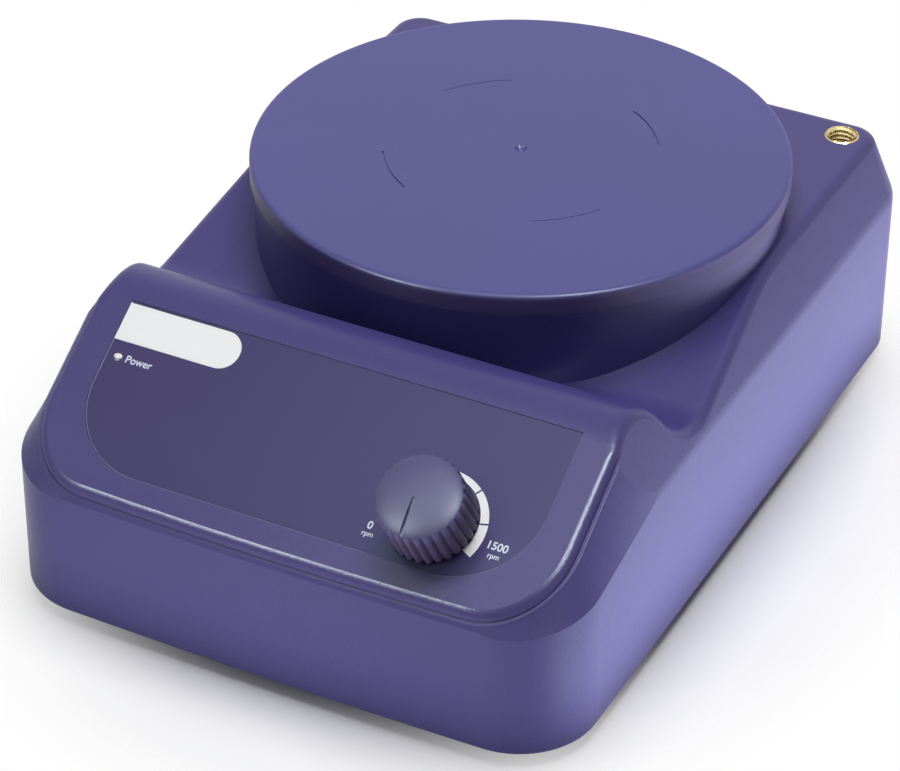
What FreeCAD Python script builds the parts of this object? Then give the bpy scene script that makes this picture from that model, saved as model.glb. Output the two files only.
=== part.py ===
"""Magnetic stirrer with a round plate, a sloping control console and a rear mains inlet.

Millimetres, +X to the right seen from the front, +Y to the back, +Z up.
The origin is on the table, under the middle of the housing.
"""
import FreeCAD, Part
import math
import os
import re

import Sketcher

doc = FreeCAD.newDocument("magnetic_stirrer")

# Driving dimensions, one named size per row.
SIZES = {
    # housing
    "body_width": 150,
    "body_length": 209,
    "front_bow": 1.2,
    "front_corner": 20,
    "rear_corner": 13,
    "wall": 3,
    "roof": 4.6,
    "foot_height": 3,
    "shoulder_height": 49,
    "bevel_slope": 21.2,
    "fold_round": 8,
    "top_round": 3,
    "foot_round": 1.5,
    "crest_room": 3,
    "deck_height": 65.5,
    "knee_setback": 83,
    "knee_radius": 60,
    "ramp_slope": 15.1,
    "valley_setback": 70.3,
    "valley_radius": 15.5,
    "ridge_slope": 57.3,
    "crest_radius": 15.5,
    "panel_slope": 32.2,
    "console_depth": 42.7,
    "panel_top_z": 66.9,
    # console edge: a rounded lip inside a narrow ledge
    "rim_step": 2.2,
    "rim_round": 3,
    "rim_side_inset": 5.8,
    "rim_front_inset": 0.9,
    "rim_reach": 18,
    "lip_lead": 12,
    "lip_proud": 0.08,
    "ledge_width": 0.6,
    "ridge_lead": 3,
    "band_front_height": 1.5,
    "band_overrun": 0.3,
    # stirring plate and the drum of the housing under it
    "plate_setback": 77.9,
    "plate_radius": 67.5,
    "plate_top": 78.6,
    "plate_thick": 4,
    "plate_edge_round": 1.2,
    "mark_circle": 34.3,
    "mark_width": 0.5,
    "mark_depth": 0.3,
    "mark_span": 30,
    "centre_mark_radius": 0.8,
    "skirt_height": 5.4,
    "skirt_thick": 0.9,
    "drum_gap": 0.2,
    "drum_wall": 3,
    "flange_thick": 3,
    "gasket_thick": 1,
    "gasket_width": 5,
    "plate_screw_margin": 0.5,
    "plate_screw_depth": 3,
    # base plate and feet
    "base_thick": 2.5,
    "base_gap": 0.3,
    "base_boss_height": 6,
    "base_boss_radius": 4.5,
    "base_screw_side": 8.5,
    "base_screw_front_setback": 26.5,
    "base_screw_rear_setback": 22.5,
    "base_screw_length": 16,
    "housing_boss_height": 22,
    "foot_radius": 8,
    "foot_stem_radius": 3,
    "foot_chamfer": 0.8,
    "foot_side": 19,
    "foot_front_setback": 20.5,
    "foot_rear_setback": 18.5,
    "vent_length": 40,
    "vent_width": 3,
    "vent_pitch": 9,
    "vent_count": 5,
    # fasteners
    "screw_radius": 1.5,
    "screw_head_radius": 2.75,
    "screw_head_height": 2.2,
    "screw_gap": 0.2,
    "fit_gap": 0.05,
    # panel overlay, label and lamp, placed on the sloping panel
    "overlay_width": 118.8,
    "overlay_height": 42.5,
    "overlay_corner": 21,
    "overlay_thick": 0.4,
    "recess_depth": 0.7,
    "recess_gap": 0.2,
    "label_length": 32,
    "label_height": 9.8,
    "label_drop": 0.8,
    "label_thick": 0.2,
    "lamp_x": -56.4,
    "lamp_drop": 14.7,
    "lamp_radius": 1.2,
    "lamp_collar_radius": 2.2,
    "lamp_collar_thick": 1.5,
    "lamp_proud": 0.3,
    # speed knob and its potentiometer
    "knob_x": 34.6,
    "knob_drop": 30.5,
    "knob_radius": 10.9,
    "knob_shoulder_radius": 10.7,
    "knob_shoulder_height": 12,
    "knob_height": 15,
    "knob_lift": 0.6,
    "knob_flutes": 28,
    "knob_flute_radius": 0.7,
    "pointer_width": 0.9,
    "pointer_depth": 0.35,
    "pointer_start": 1,
    "pointer_tilt": 11,
    "knob_hollow_radius": 8,
    "knob_hollow_height": 6,
    "spindle_radius": 3,
    "spindle_top": 12,
    "spindle_gap": 0.05,
    "bushing_radius": 3.5,
    "bushing_proud": 3.6,
    "pot_radius": 8,
    "pot_depth": 9,
    "washer_radius": 6,
    "washer_thick": 0.6,
    "nut_radius": 5.6,
    "nut_thick": 2,
    "board_thick": 1.6,
    "control_board_width": 28,
    "control_board_height": 22,
    # rod socket
    "socket_side": 14.3,
    "socket_setback": 13.5,
    "socket_radius": 4.5,
    "socket_bore": 3.4,
    "socket_length": 20,
    "socket_depth": 17,
    "socket_boss_radius": 6,
    "socket_boss_length": 24,
    "socket_proud": 0.2,
    "socket_chamfer": 0.6,
    # motor, bracket and magnet carrier
    "bracket_thick": 2,
    "bracket_top": 50,
    "bracket_half_span": 46,
    "bracket_width": 50,
    "bracket_flange": 12,
    "bracket_hole": 8,
    "post_radius": 4,
    "post_height": 5,
    "post_screw_depth": 4.5,
    "motor_radius": 25,
    "motor_length": 32,
    "motor_wall": 2,
    "motor_cap_thick": 4,
    "motor_screw_circle": 17,
    "motor_screw_depth": 3.5,
    "bearing_radius": 6.5,
    "stator_length": 16,
    "stator_bore": 15,
    "air_gap": 0.5,
    "shaft_radius": 2.5,
    "shaft_gap": 0.03,
    "carrier_radius": 40,
    "carrier_thick": 8,
    "carrier_clearance": 2.6,
    "hub_radius": 8,
    "hub_height": 8,
    "magnet_radius": 9,
    "magnet_depth": 6,
    "magnet_circle": 28,
    "magnet_proud": 0.4,
    "set_screw_radius": 1.45,
    "shaft_drop": 1,
    # driver board on the base plate
    "board_setback": 24.5,
    "driver_board_width": 100,
    "driver_board_depth": 56,
    "board_post_height": 6,
    "board_post_inset": 5,
    "board_screw_radius": 1.2,
    "board_screw_head": 2.2,
    "transformer_x": -26,
    "transformer_width": 32,
    "transformer_depth": 28,
    "transformer_height": 22,
    "capacitor_x": 12,
    "capacitor_radius": 5,
    "capacitor_height": 16,
    "capacitor_gap": 2,
    "board_margin": 3,
    "sink_x": 6,
    "sink_width": 24,
    "sink_depth": 14,
    "sink_height": 18,
    "sink_base": 3,
    "sink_fins": 5,
    "terminal_width": 24,
    "terminal_depth": 8,
    "terminal_height": 10,
    # rear recess with mains inlet, fuse drawer and rocker switch
    "recess_x": -2,
    "recess_width": 66,
    "recess_height": 37,
    "recess_in": 4,
    "inlet_x": -18,
    "inlet_width": 30,
    "inlet_height": 34,
    "inlet_flange": 2.5,
    "inlet_body_width": 27,
    "inlet_body_height": 31,
    "inlet_body_depth": 22,
    "mouth_width": 24.5,
    "mouth_height": 16.5,
    "mouth_lift": 5,
    "mouth_depth": 16,
    "pin_width": 4,
    "pin_thick": 2,
    "pin_length": 12,
    "pin_pitch": 7,
    "pin_drop": 1.84,
    "pin_rise": 4.6,
    "pin_tail": 6,
    "drawer_drop": 10,
    "drawer_width": 22.4,
    "drawer_height": 7.4,
    "drawer_length": 18,
    "drawer_gap": 0.3,
    "fuse_radius": 2.6,
    "fuse_length": 20,
    "fuse_gap": 0.3,
    "tray_floor": 1,
    "switch_x": 20,
    "switch_width": 15.5,
    "switch_height": 24,
    "switch_flange": 1.5,
    "switch_body_width": 13.4,
    "switch_body_height": 20.8,
    "switch_body_depth": 16,
    "rocker_width": 11,
    "rocker_height": 16,
    "rocker_gap": 0.4,
    "rocker_swing": 1.3,
    "rocker_depth": 9,
    "pivot_depth": 4.5,
    "pivot_radius": 1.2,
    "pivot_length": 0.9,
    "pivot_web": 1.2,
    "rocker_rise": 4.9,
    "rocker_dip": 0.6,
    "rocker_tilt": 10,
    "opening_gap": 0.2,
    # how far cutting tools run past the faces that they cut
    "overcut": 1,
    "far_overcut": 5,
}

sheet = doc.addObject("Spreadsheet::Sheet", "sizes")
for row, (alias, number) in enumerate(SIZES.items(), start=1):
    sheet.set(f"A{row}", alias)
    sheet.set(f"B{row}", str(number))
    sheet.setAlias(f"B{row}", alias)
doc.recompute()

# Places that follow from the sizes: setbacks are from the front or the rear end, sides from the side walls.
PLACES = {
    "panel_top_y": "(console_depth - body_length / 2)",
    "valley_y": "(valley_setback - body_length / 2)",
    "knee_y": "(body_length / 2 - knee_setback)",
    "plate_y": "(body_length / 2 - plate_setback)",
    "base_screw_x": "(body_width / 2 - base_screw_side)",
    "base_screw_front": "(base_screw_front_setback - body_length / 2)",
    "base_screw_rear": "(body_length / 2 - base_screw_rear_setback)",
    "foot_x": "(body_width / 2 - foot_side)",
    "foot_front": "(foot_front_setback - body_length / 2)",
    "foot_rear": "(body_length / 2 - foot_rear_setback)",
    "socket_x": "(body_width / 2 - socket_side)",
    "socket_y": "(body_length / 2 - socket_setback)",
    "driver_board_y": "(board_setback + driver_board_depth / 2 - body_length / 2)",
    "recess_z": "(foot_height + base_thick + base_gap + wall + recess_height / 2)",
}
SIZE_NAMES = re.compile(r"\b(" + "|".join(SIZES) + r")\b")
PLACE_NAMES = re.compile(r"\b(" + "|".join(PLACES) + r")\b")

# Sizes worked out from the driving ones.
HALF_WIDTH = "(body_width / 2)"
HALF_LENGTH = "(body_length / 2)"
BASE_TOP = "(foot_height + base_thick)"
VALLEY_Z = "(deck_height - (knee_y - valley_y) * tan(ramp_slope))"
RIDGE_Y = (
    f"(({VALLEY_Z} + valley_y * tan(ridge_slope) - panel_top_z + panel_top_y * tan(panel_slope))"
    " / (tan(ridge_slope) + tan(panel_slope)))"
)
RIDGE_Z = f"({VALLEY_Z} + (valley_y - {RIDGE_Y}) * tan(ridge_slope))"
PANEL_THICK = "(roof * cos(panel_slope))"
SKIRT_BORE = "(plate_radius - skirt_thick)"
DRUM_RADIUS = f"({SKIRT_BORE} - drum_gap)"
DRUM_BORE = f"({DRUM_RADIUS} - drum_wall)"
PLATE_SCREW_CIRCLE = f"({DRUM_BORE} - screw_head_radius - plate_screw_margin)"
FLANGE_BORE = f"({PLATE_SCREW_CIRCLE} - screw_head_radius - plate_screw_margin)"
PLATE_UNDERSIDE = "(plate_top - plate_thick)"
FLANGE_TOP = f"({PLATE_UNDERSIDE} - gasket_thick)"
FLANGE_UNDERSIDE = f"({FLANGE_TOP} - flange_thick)"
OVERLAY_TOP = "(overlay_thick - recess_depth)"
PILOT_RADIUS = "(screw_radius + fit_gap)"
CLEARANCE_HOLE = "(screw_radius + screw_gap)"
BOSS_SEAT = "(foot_height + base_boss_height)"
MOTOR_TOP = "(bracket_top - bracket_thick)"
MOTOR_FOOT = f"({MOTOR_TOP} - motor_length)"
CARRIER_TOP = f"({PLATE_UNDERSIDE} - carrier_clearance)"
HUB_FOOT = f"({CARRIER_TOP} - carrier_thick - hub_height)"
POST_TOP = f"({BASE_TOP} + post_height)"
BOARD_UNDERSIDE = f"({BASE_TOP} + board_post_height)"
BOARD_TOP = f"({BOARD_UNDERSIDE} + board_thick)"
REAR_FACE = f"({HALF_LENGTH} - recess_in)"
INLET_FACE = f"({REAR_FACE} + inlet_flange)"
DRAWER_Z = "(recess_z - drawer_drop)"
SWITCH_FACE = f"({REAR_FACE} + switch_flange)"
PIVOT_Y = f"({SWITCH_FACE} - pivot_depth)"
ROCKER_BAY = "(rocker_height + 2 * rocker_swing)"
TALL = "(plate_top + far_overcut)"

BASE_SCREWS = [(x, y) for x in ("-base_screw_x", "base_screw_x") for y in ("base_screw_front",
                                                                           "base_screw_rear")]
FEET = [(x, y) for x in ("-foot_x", "foot_x") for y in ("foot_front", "foot_rear")]
DIAGONALS = [(a, b) for a in ("-1", "1") for b in ("-1", "1")]


def placed(text):
    """A size formula in which each place is put as its own formula."""
    return PLACE_NAMES.sub(lambda found: PLACES[found.group(1)], str(text))


def value(text):
    """The number that a size formula gives now."""
    return float(sheet.evalExpression(placed(text)))


def sized(text):
    """A size formula as an expression that reads the sheet."""
    return SIZE_NAMES.sub(r"sizes.\1", placed(text))


def bind(thing, **sizes):
    """Tie properties of an object to size formulas."""
    for name, text in sizes.items():
        thing.setExpression(name, sized(text))


def shift(thing, x="0", y="0", z="0"):
    """Tie the place of an object to size formulas."""
    for axis, text in zip("xyz", (x, y, z)):
        thing.setExpression(f"Placement.Base.{axis}", sized(text))
    return thing


def turn(thing, axis, angle):
    """Turn an object about an axis by an angle that follows a size formula."""
    place = thing.Placement
    place.Rotation = FreeCAD.Rotation(axis, value(angle))
    thing.Placement = place
    thing.setExpression("Placement.Rotation.Angle", sized(angle))
    return thing


X_AXIS = FreeCAD.Vector(1, 0, 0)
Y_AXIS = FreeCAD.Vector(0, 1, 0)
Z_AXIS = FreeCAD.Vector(0, 0, 1)


def on_panel(thing):
    """Lay an object made flat, with +Z as its front, on the sloping console panel."""
    turn(thing, X_AXIS, "panel_slope")
    return shift(thing, "0", "panel_top_y", "panel_top_z")


def block(name, width, depth, height, x="0", y="0", z="0"):
    """A box centred on x and y that stands on z."""
    box = doc.addObject("Part::Box", name)
    bind(box, Length=width, Width=depth, Height=height)
    return shift(box, f"{x} - ({width}) / 2", f"{y} - ({depth}) / 2", z)


def rod(name, radius, height, x="0", y="0", z="0"):
    """An upright cylinder."""
    cylinder = doc.addObject("Part::Cylinder", name)
    bind(cylinder, Radius=radius, Height=height)
    return shift(cylinder, x, y, z)


def cross_rod(name, radius, length, x="0", y="0", z="0"):
    """A cylinder along X, starting at x."""
    cylinder = rod(name, radius, length)
    turn(cylinder, Y_AXIS, "90")
    return shift(cylinder, x, y, z)


def join(name, pieces):
    """One solid from overlapping pieces."""
    result = doc.addObject("Part::MultiFuse", name)
    result.Shapes = pieces
    result.Refine = True
    return result


def cut(name, base, tools):
    """The base without the tools."""
    result = doc.addObject("Part::Cut", name)
    result.Base = base
    result.Tool = tools[0] if len(tools) == 1 else join(f"{name}_tools", tools)
    result.Refine = True
    return result


def overlap(name, first, second):
    """What two solids share."""
    result = doc.addObject("Part::Common", name)
    result.Base = first
    result.Tool = second
    result.Refine = True
    return result


def group(name, pieces):
    """Separate solids that share one node."""
    result = doc.addObject("Part::Compound", name)
    result.Links = pieces
    return result


def sketch_on(body, name, plane):
    """A sketch on one of the body's own origin planes."""
    sketch = body.newObject("Sketcher::SketchObject", name)
    origin_plane = next(item for item in body.Origin.OriginFeatures if item.Role == plane)
    sketch.AttachmentSupport = [(origin_plane, "")]
    sketch.MapMode = "FlatFace"
    return sketch


def pin_point(sketch, edge, end, across, up):
    """Tie one end of a sketch edge to two size formulas."""
    for kind, text in (("DistanceX", across), ("DistanceY", up)):
        index = sketch.addConstraint(Sketcher.Constraint(kind, edge, end, value(text)))
        sketch.setExpression(f"Constraints[{index}]", sized(text))


def draw_polygon(sketch, points):
    """A closed outline of straight edges through points given as pairs of size formulas."""
    spots = [FreeCAD.Vector(value(across), value(up), 0) for across, up in points]
    for start, end in zip(spots, spots[1:] + spots[:1]):
        sketch.addGeometry(Part.LineSegment(start, end))
    count = len(points)
    for edge in range(count):
        sketch.addConstraint(Sketcher.Constraint("Coincident", edge, 2, (edge + 1) % count, 1))
    for edge, (across, up) in enumerate(points):
        pin_point(sketch, edge, 1, across, up)
    return sketch


def lathe(name, points):
    """A turned solid about Z from an outline of radius and height pairs."""
    body = doc.addObject("PartDesign::Body", name)
    outline = draw_polygon(sketch_on(body, f"{name}_outline", "XZ_Plane"), points)
    turned = body.newObject("PartDesign::Revolution", f"{name}_turned")
    turned.Profile = outline
    turned.ReferenceAxis = (outline, ["V_Axis"])
    turned.Angle = 360
    doc.recompute()
    return body


def tube(name, outer, inner, height, x="0", y="0", z="0"):
    """An upright turned ring."""
    body = lathe(name, [(inner, "0"), (outer, "0"), (outer, height), (inner, height)])
    return shift(body, x, y, z)


def prism(name, plane, points, depth, middle=False):
    """A padded outline."""
    body = doc.addObject("PartDesign::Body", name)
    outline = draw_polygon(sketch_on(body, f"{name}_outline", plane), points)
    pad = body.newObject("PartDesign::Pad", f"{name}_pad")
    pad.Profile = outline
    bind(pad, Length=depth)
    if middle:
        pad.SideType = "Symmetric"
    doc.recompute()
    return body


def edges_where(shape, test):
    """The names of the edges that a test picks."""
    return [f"Edge{number}" for number, edge in enumerate(shape.Edges, start=1) if test(edge)]


def round_edges(body, name, test, radius):
    """Round the edges of a body that a test picks."""
    base = body.Tip
    fillet = body.newObject("PartDesign::Fillet", name)
    fillet.Base = (base, edges_where(base.Shape, test))
    bind(fillet, Radius=radius)
    doc.recompute()


def middle_of(edge):
    """The middle of an edge's box."""
    return edge.BoundBox.Center


def upright(edge):
    """Whether an edge is a straight vertical line."""
    return edge.BoundBox.XLength < 1e-6 and edge.BoundBox.YLength < 1e-6


def plan_prism(name, half_width, front, rear, corners, foot, top):
    """An upright prism with a bowed front, rounded front corners and, where given, rear ones."""
    body = doc.addObject("PartDesign::Body", name)
    sketch = sketch_on(body, f"{name}_plan", "XY_Plane")
    side = f"({front} + front_bow)"
    corner_points = [(half_width, side), (half_width, rear), (f"-{half_width}", rear),
                     (f"-{half_width}", side)]
    spots = [FreeCAD.Vector(value(across), value(up), 0) for across, up in corner_points]
    for start, end in zip(spots, spots[1:]):
        sketch.addGeometry(Part.LineSegment(start, end))
    nose = FreeCAD.Vector(0, value(front), 0)
    sketch.addGeometry(Part.Arc(spots[3], nose, spots[0]))
    for edge in range(2):
        sketch.addConstraint(Sketcher.Constraint("Coincident", edge, 2, edge + 1, 1))
    sketch.addConstraint(Sketcher.Constraint("Coincident", 2, 2, 3, 1))
    sketch.addConstraint(Sketcher.Constraint("Coincident", 0, 1, 3, 2))
    for edge, (across, up) in enumerate(corner_points[:3]):
        pin_point(sketch, edge, 1, across, up)
    pin_point(sketch, 2, 2, *corner_points[3])
    bow_radius = f"({half_width} * {half_width} / front_bow + front_bow) / 2"
    index = sketch.addConstraint(Sketcher.Constraint("Radius", 3, value(bow_radius)))
    sketch.setExpression(f"Constraints[{index}]", sized(bow_radius))
    pad = body.newObject("PartDesign::Pad", f"{name}_pad")
    pad.Profile = sketch
    bind(pad, Length=f"{top} - ({foot})")
    doc.recompute()
    halfway = (value(front) + value(rear)) / 2
    front_radius, rear_radius = corners
    round_edges(
        body, f"{name}_front_corners", lambda edge: upright(edge) and middle_of(edge).y < halfway,
        front_radius
    )
    if rear_radius:
        round_edges(
            body, f"{name}_rear_corners", lambda edge: upright(edge) and middle_of(edge).y > halfway,
            rear_radius
        )
    return shift(body, "0", "0", foot)


def side_profile(name, drop, foot):
    """The side view of the housing along its whole width: deck, ramp, valley, ridge and panel."""
    beyond = 10
    front = f"(-{HALF_LENGTH} - {beyond})"
    rear = f"({HALF_LENGTH} + {beyond})"
    front_z = f"(panel_top_z + ({front} - panel_top_y) * tan(panel_slope) - {drop})"
    points = [
        (front, foot),
        (rear, foot),
        (rear, f"deck_height - {drop}"),
        ("knee_y", f"deck_height - {drop}"),
        ("valley_y", f"{VALLEY_Z} - {drop}"),
        (RIDGE_Y, f"{RIDGE_Z} - {drop}"),
        (front, front_z),
    ]
    body = prism(name, "YZ_Plane", points, f"body_width + {beyond}", middle=True)
    bends = [("knee", 3, "knee_radius"), ("valley", 4, "valley_radius"), ("crest", 5, "crest_radius")]
    for bend, corner, radius in bends:
        across, up = (value(text) for text in points[corner])

        def at_corner(edge):
            spot = middle_of(edge)
            return abs(spot.y - across) < 1e-4 and abs(spot.z - up) < 1e-4

        round_edges(body, f"{name}_{bend}", at_corner, radius)
    return body


def leaning_walls(name, inset):
    """A tall prism whose sides and back lean inwards and pass through the wall's outline at the shoulder."""
    spread = "(shoulder_height * tan(bevel_slope))"
    half = f"({HALF_WIDTH} - {inset} + {spread})"
    rear = f"({HALF_LENGTH} - {inset} + {spread})"
    front = f"(-{HALF_LENGTH} - body_width)"
    points = [(f"-{half}", front), (half, front), (half, rear), (f"-{half}", rear)]
    body = prism(name, "XY_Plane", points, "max(deck_height; panel_top_z) + crest_room")
    round_edges(
        body, f"{name}_corners", lambda edge: upright(edge) and middle_of(edge).y > 0,
        f"rear_corner - {inset} + {spread}",
    )
    base = body.Tip
    leaning = []
    foot_face = None
    for number, face in enumerate(base.Shape.Faces, start=1):
        spot = face.BoundBox
        if spot.ZLength < 1e-6:
            if abs(spot.ZMin) < 1e-6:
                foot_face = f"Face{number}"
        elif spot.YMax > value(front) + 1e-3:
            leaning.append(f"Face{number}")
    draft = body.newObject("PartDesign::Draft", f"{name}_lean")
    draft.Base = (base, leaning)
    draft.NeutralPlane = (base, [foot_face])
    bind(draft, Angle="bevel_slope")
    doc.recompute()
    if draft.Shape.BoundBox.XMax > base.Shape.BoundBox.XMax + 1e-6:
        draft.Reversed = True
        doc.recompute()
    return body


def ledge_z(station):
    """The height of the ledge round the console lip at a place along Y."""
    return f"(panel_top_z + ({station} - panel_top_y) * tan(panel_slope) - rim_step / cos(panel_slope))"


def sloping_outline(solid, rear, front):
    """The outline in which a plane through a rear and a front line cuts an upright solid."""
    rear_y, rear_z = (value(text) for text in rear)
    front_y, front_z = (value(text) for text in front)
    rise = (rear_z - front_z) / (rear_y - front_y)
    reach = value("body_length")
    corners = [
        FreeCAD.Vector(side * reach, rear_y + along * reach, rear_z + along * reach * rise)
        for side, along in ((-1, -1), (1, -1), (1, 1), (-1, 1))
    ]
    plane = Part.Face(Part.makePolygon(corners + corners[:1]))
    return plane.common(solid).Faces[0].OuterWire


def console_band(name, inset):
    """What is cut away round the console, so that its walls lean in from the shoulder to the ledge."""
    rear = f"({RIDGE_Y} + ridge_lead)"
    front = f"(-{HALF_LENGTH})"
    front_low = f"({ledge_z(front)} - band_front_height)"
    low_plan = plan_prism(
        f"{name}_low_plan", f"({HALF_WIDTH} - {inset} + band_overrun)",
        f"({front} + {inset} - band_overrun)", rear,
        (f"front_corner - {inset} + band_overrun", None), "0", TALL,
    )
    ledge_plan = plan_prism(
        f"{name}_ledge_plan", f"({HALF_WIDTH} - {inset} - rim_side_inset + ledge_width)",
        f"({front} + {inset} + rim_front_inset - ledge_width)", rear,
        (f"front_corner - {inset} - rim_front_inset + ledge_width", None), "0", TALL,
    )
    low = sloping_outline(
        low_plan.Shape, (rear, "shoulder_height - band_overrun"), (front, f"{front_low} - band_overrun")
    )
    ledge = sloping_outline(ledge_plan.Shape, (rear, ledge_z(rear)), (front, ledge_z(front)))
    above = ledge.copy()
    above.translate(FreeCAD.Vector(0, 0, value(TALL)))
    kept = doc.addObject("Part::Feature", f"{name}_kept")
    kept.Shape = Part.makeLoft([low, ledge, above], True, True)
    nose = f"({front} - far_overcut)"
    rise = f"((shoulder_height - {front_low}) / ({rear} - {front}))"
    points = [
        (rear, "shoulder_height"), (rear, TALL), (nose, TALL), (nose, f"{front_low} - far_overcut * {rise}"),
    ]
    slab = prism(f"{name}_slab", "YZ_Plane", points, "body_width + 2 * far_overcut", middle=True)
    return cut(name, slab, [kept])


def fold_angle(shape, edge):
    """The angle between the two faces that meet at an edge, in degrees."""
    spot = edge.valueAt((edge.FirstParameter + edge.LastParameter) / 2)
    normals = [face.normalAt(*face.Surface.parameter(spot)) for face in shape.ancestorsOfType(edge,
                                                                                              Part.Face)]
    return math.degrees(normals[0].getAngle(normals[1])) if len(normals) == 2 else 0


def round_solid(name, source, test, radius):
    """Round the edges of a solid that a test picks."""
    doc.recompute()
    size = value(radius)
    result = doc.addObject("Part::Fillet", name)
    result.Base = source
    result.Edges = [(number, size, size) for number, edge in enumerate(source.Shape.Edges,
                                                                       start=1) if test(edge)]
    doc.recompute()
    return result


def soften(name, full):
    """The full form with its soft folds, its top edge and its foot edge rounded."""
    foot = value("foot_height")

    def at_foot(edge):
        return edge.BoundBox.ZMax < foot + 1e-3

    def soft_fold(edge):
        return 5 < fold_angle(full.Shape, edge) < 45

    folded = round_solid(f"{name}_folds", full, soft_fold, "fold_round")

    def top_edge(edge):
        return not at_foot(edge) and fold_angle(folded.Shape, edge) > 45

    topped = round_solid(f"{name}_top_edge", folded, top_edge, "top_round")
    return round_solid(f"{name}_foot_edge", topped, at_foot, "foot_round")


def housing_form(name, inset, drop, foot, soft=False):
    """The housing as a full solid, all of its walls moved in by the inset and its roof by the drop."""
    plan = plan_prism(
        f"{name}_plan", f"({HALF_WIDTH} - {inset})", f"(-{HALF_LENGTH} + {inset})",
        f"({HALF_LENGTH} - {inset})",
        (f"front_corner - {inset}", f"rear_corner - {inset}"), foot, TALL,
    )
    walls = overlap(f"{name}_walls", plan, leaning_walls(f"{name}_lean", inset))
    full = overlap(f"{name}_full", side_profile(f"{name}_profile", drop, foot), walls)
    if soft:
        full = soften(name, full)
    return cut(name, full, [console_band(f"{name}_band", inset)])


def console_rim():
    """What is cut off around the console, leaving a rounded lip inside a narrow ledge."""
    reach = 20
    slab = doc.addObject("Part::Box", "rim_slab")
    bind(slab, Length=f"body_width + {reach}", Width="body_length / 2", Height=reach)
    on_panel(slab)
    shift(
        slab,
        f"-{HALF_WIDTH} - {reach} / 2",
        "panel_top_y + (rim_reach - body_length / 2) * cos(panel_slope) + rim_step * sin(panel_slope)",
        "panel_top_z + (rim_reach - body_length / 2) * sin(panel_slope) - rim_step * cos(panel_slope)",
    )
    lip_back = f"({RIDGE_Y} + lip_lead)"
    lip_plan = plan_prism(
        "lip_plan", f"({HALF_WIDTH} - rim_side_inset)", f"(-{HALF_LENGTH} + rim_front_inset)", lip_back,
        ("front_corner - rim_front_inset", None), "foot_height",
        f"(panel_top_z + ({lip_back} - panel_top_y) * tan(panel_slope) + far_overcut)",
    )
    under_panel = doc.addObject("Part::Box", "under_panel")
    bind(under_panel, Length=f"body_width + {reach}", Width="2 * body_length", Height="body_length")
    on_panel(under_panel)
    shift(
        under_panel,
        f"-{HALF_WIDTH} - {reach} / 2",
        "panel_top_y - body_length * cos(panel_slope) - (lip_proud - body_length) * sin(panel_slope)",
        "panel_top_z - body_length * sin(panel_slope) + (lip_proud - body_length) * cos(panel_slope)",
    )
    lip_block = overlap("lip_block", under_panel, lip_plan)
    doc.recompute()
    slope = value("tan(panel_slope)")
    level = value("panel_top_z - panel_top_y * tan(panel_slope) + lip_proud / cos(panel_slope)")
    back = value(lip_back)

    def on_top(edge):
        points = [edge.valueAt(edge.FirstParameter + part * (edge.LastParameter - edge.FirstParameter))
                  for part in (0.0, 0.5, 1.0)]
        at_back = all(abs(point.y - back) < 1e-3 for point in points)
        return not at_back and all(abs(point.z - slope * point.y - level) < 1e-3 for point in points)

    return cut("console_rim", slab, [round_solid("lip", lip_block, on_top, "rim_round")])


NODES = []


def node(name, thing):
    """Name a finished sub-part; its label is the name of its file."""
    thing.Label = name
    NODES.append(thing)
    return thing


def screw(name, x, y, seat, length, down=True, radius="screw_radius", head="screw_head_radius"):
    """A pan-head screw whose head rests on the seat."""
    if down:
        shank = rod(f"{name}_shank", radius, length, x, y, f"{seat} - ({length})")
        cap = rod(f"{name}_head", head, "screw_head_height", x, y, seat)
    else:
        shank = rod(f"{name}_shank", radius, length, x, y, seat)
        cap = rod(f"{name}_head", head, "screw_head_height", x, y, f"{seat} - screw_head_height")
    return join(name, [shank, cap])


def around(x, y, circle, angle):
    """A place on a circle about x and y."""
    return f"({x} + {circle} * cos({angle}))", f"({y} + {circle} * sin({angle}))"


PLATE_SCREW_PLACES = [around("0", "plate_y", PLATE_SCREW_CIRCLE, angle) for angle in (45, 135, 225, 315)]
MOTOR_SCREW_PLACES = [around("0", "plate_y", "motor_screw_circle", angle) for angle in (45, 135, 225, 315)]
BRACKET_SCREW_X = "(bracket_half_span + bracket_flange / 2)"
BRACKET_SCREW_PLACES = [
    (f"({a} * {BRACKET_SCREW_X})", f"(plate_y + {b} * bracket_width / 3)") for a, b in DIAGONALS
]
BOARD_SCREW_PLACES = [
    (
        f"({a} * (driver_board_width / 2 - board_post_inset))",
        f"(driver_board_y + {b} * (driver_board_depth / 2 - board_post_inset))",
    )
    for a, b in DIAGONALS
]


def panel_outline(name, width, height, corner, thick, above):
    """A flat panel piece with square top corners and rounded lower ones, its top edge on the panel line."""
    half = f"(({width}) / 2)"
    points = [(f"-{half}", "0"), (f"-{half}", f"-({height})"), (half, f"-({height})"), (half, "0")]
    body = prism(name, "XY_Plane", points, thick)
    low = -value(height) / 2
    round_edges(body, f"{name}_corners", lambda edge: upright(edge) and middle_of(edge).y < low, corner)
    return shift(body, "0", "0", above)


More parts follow.
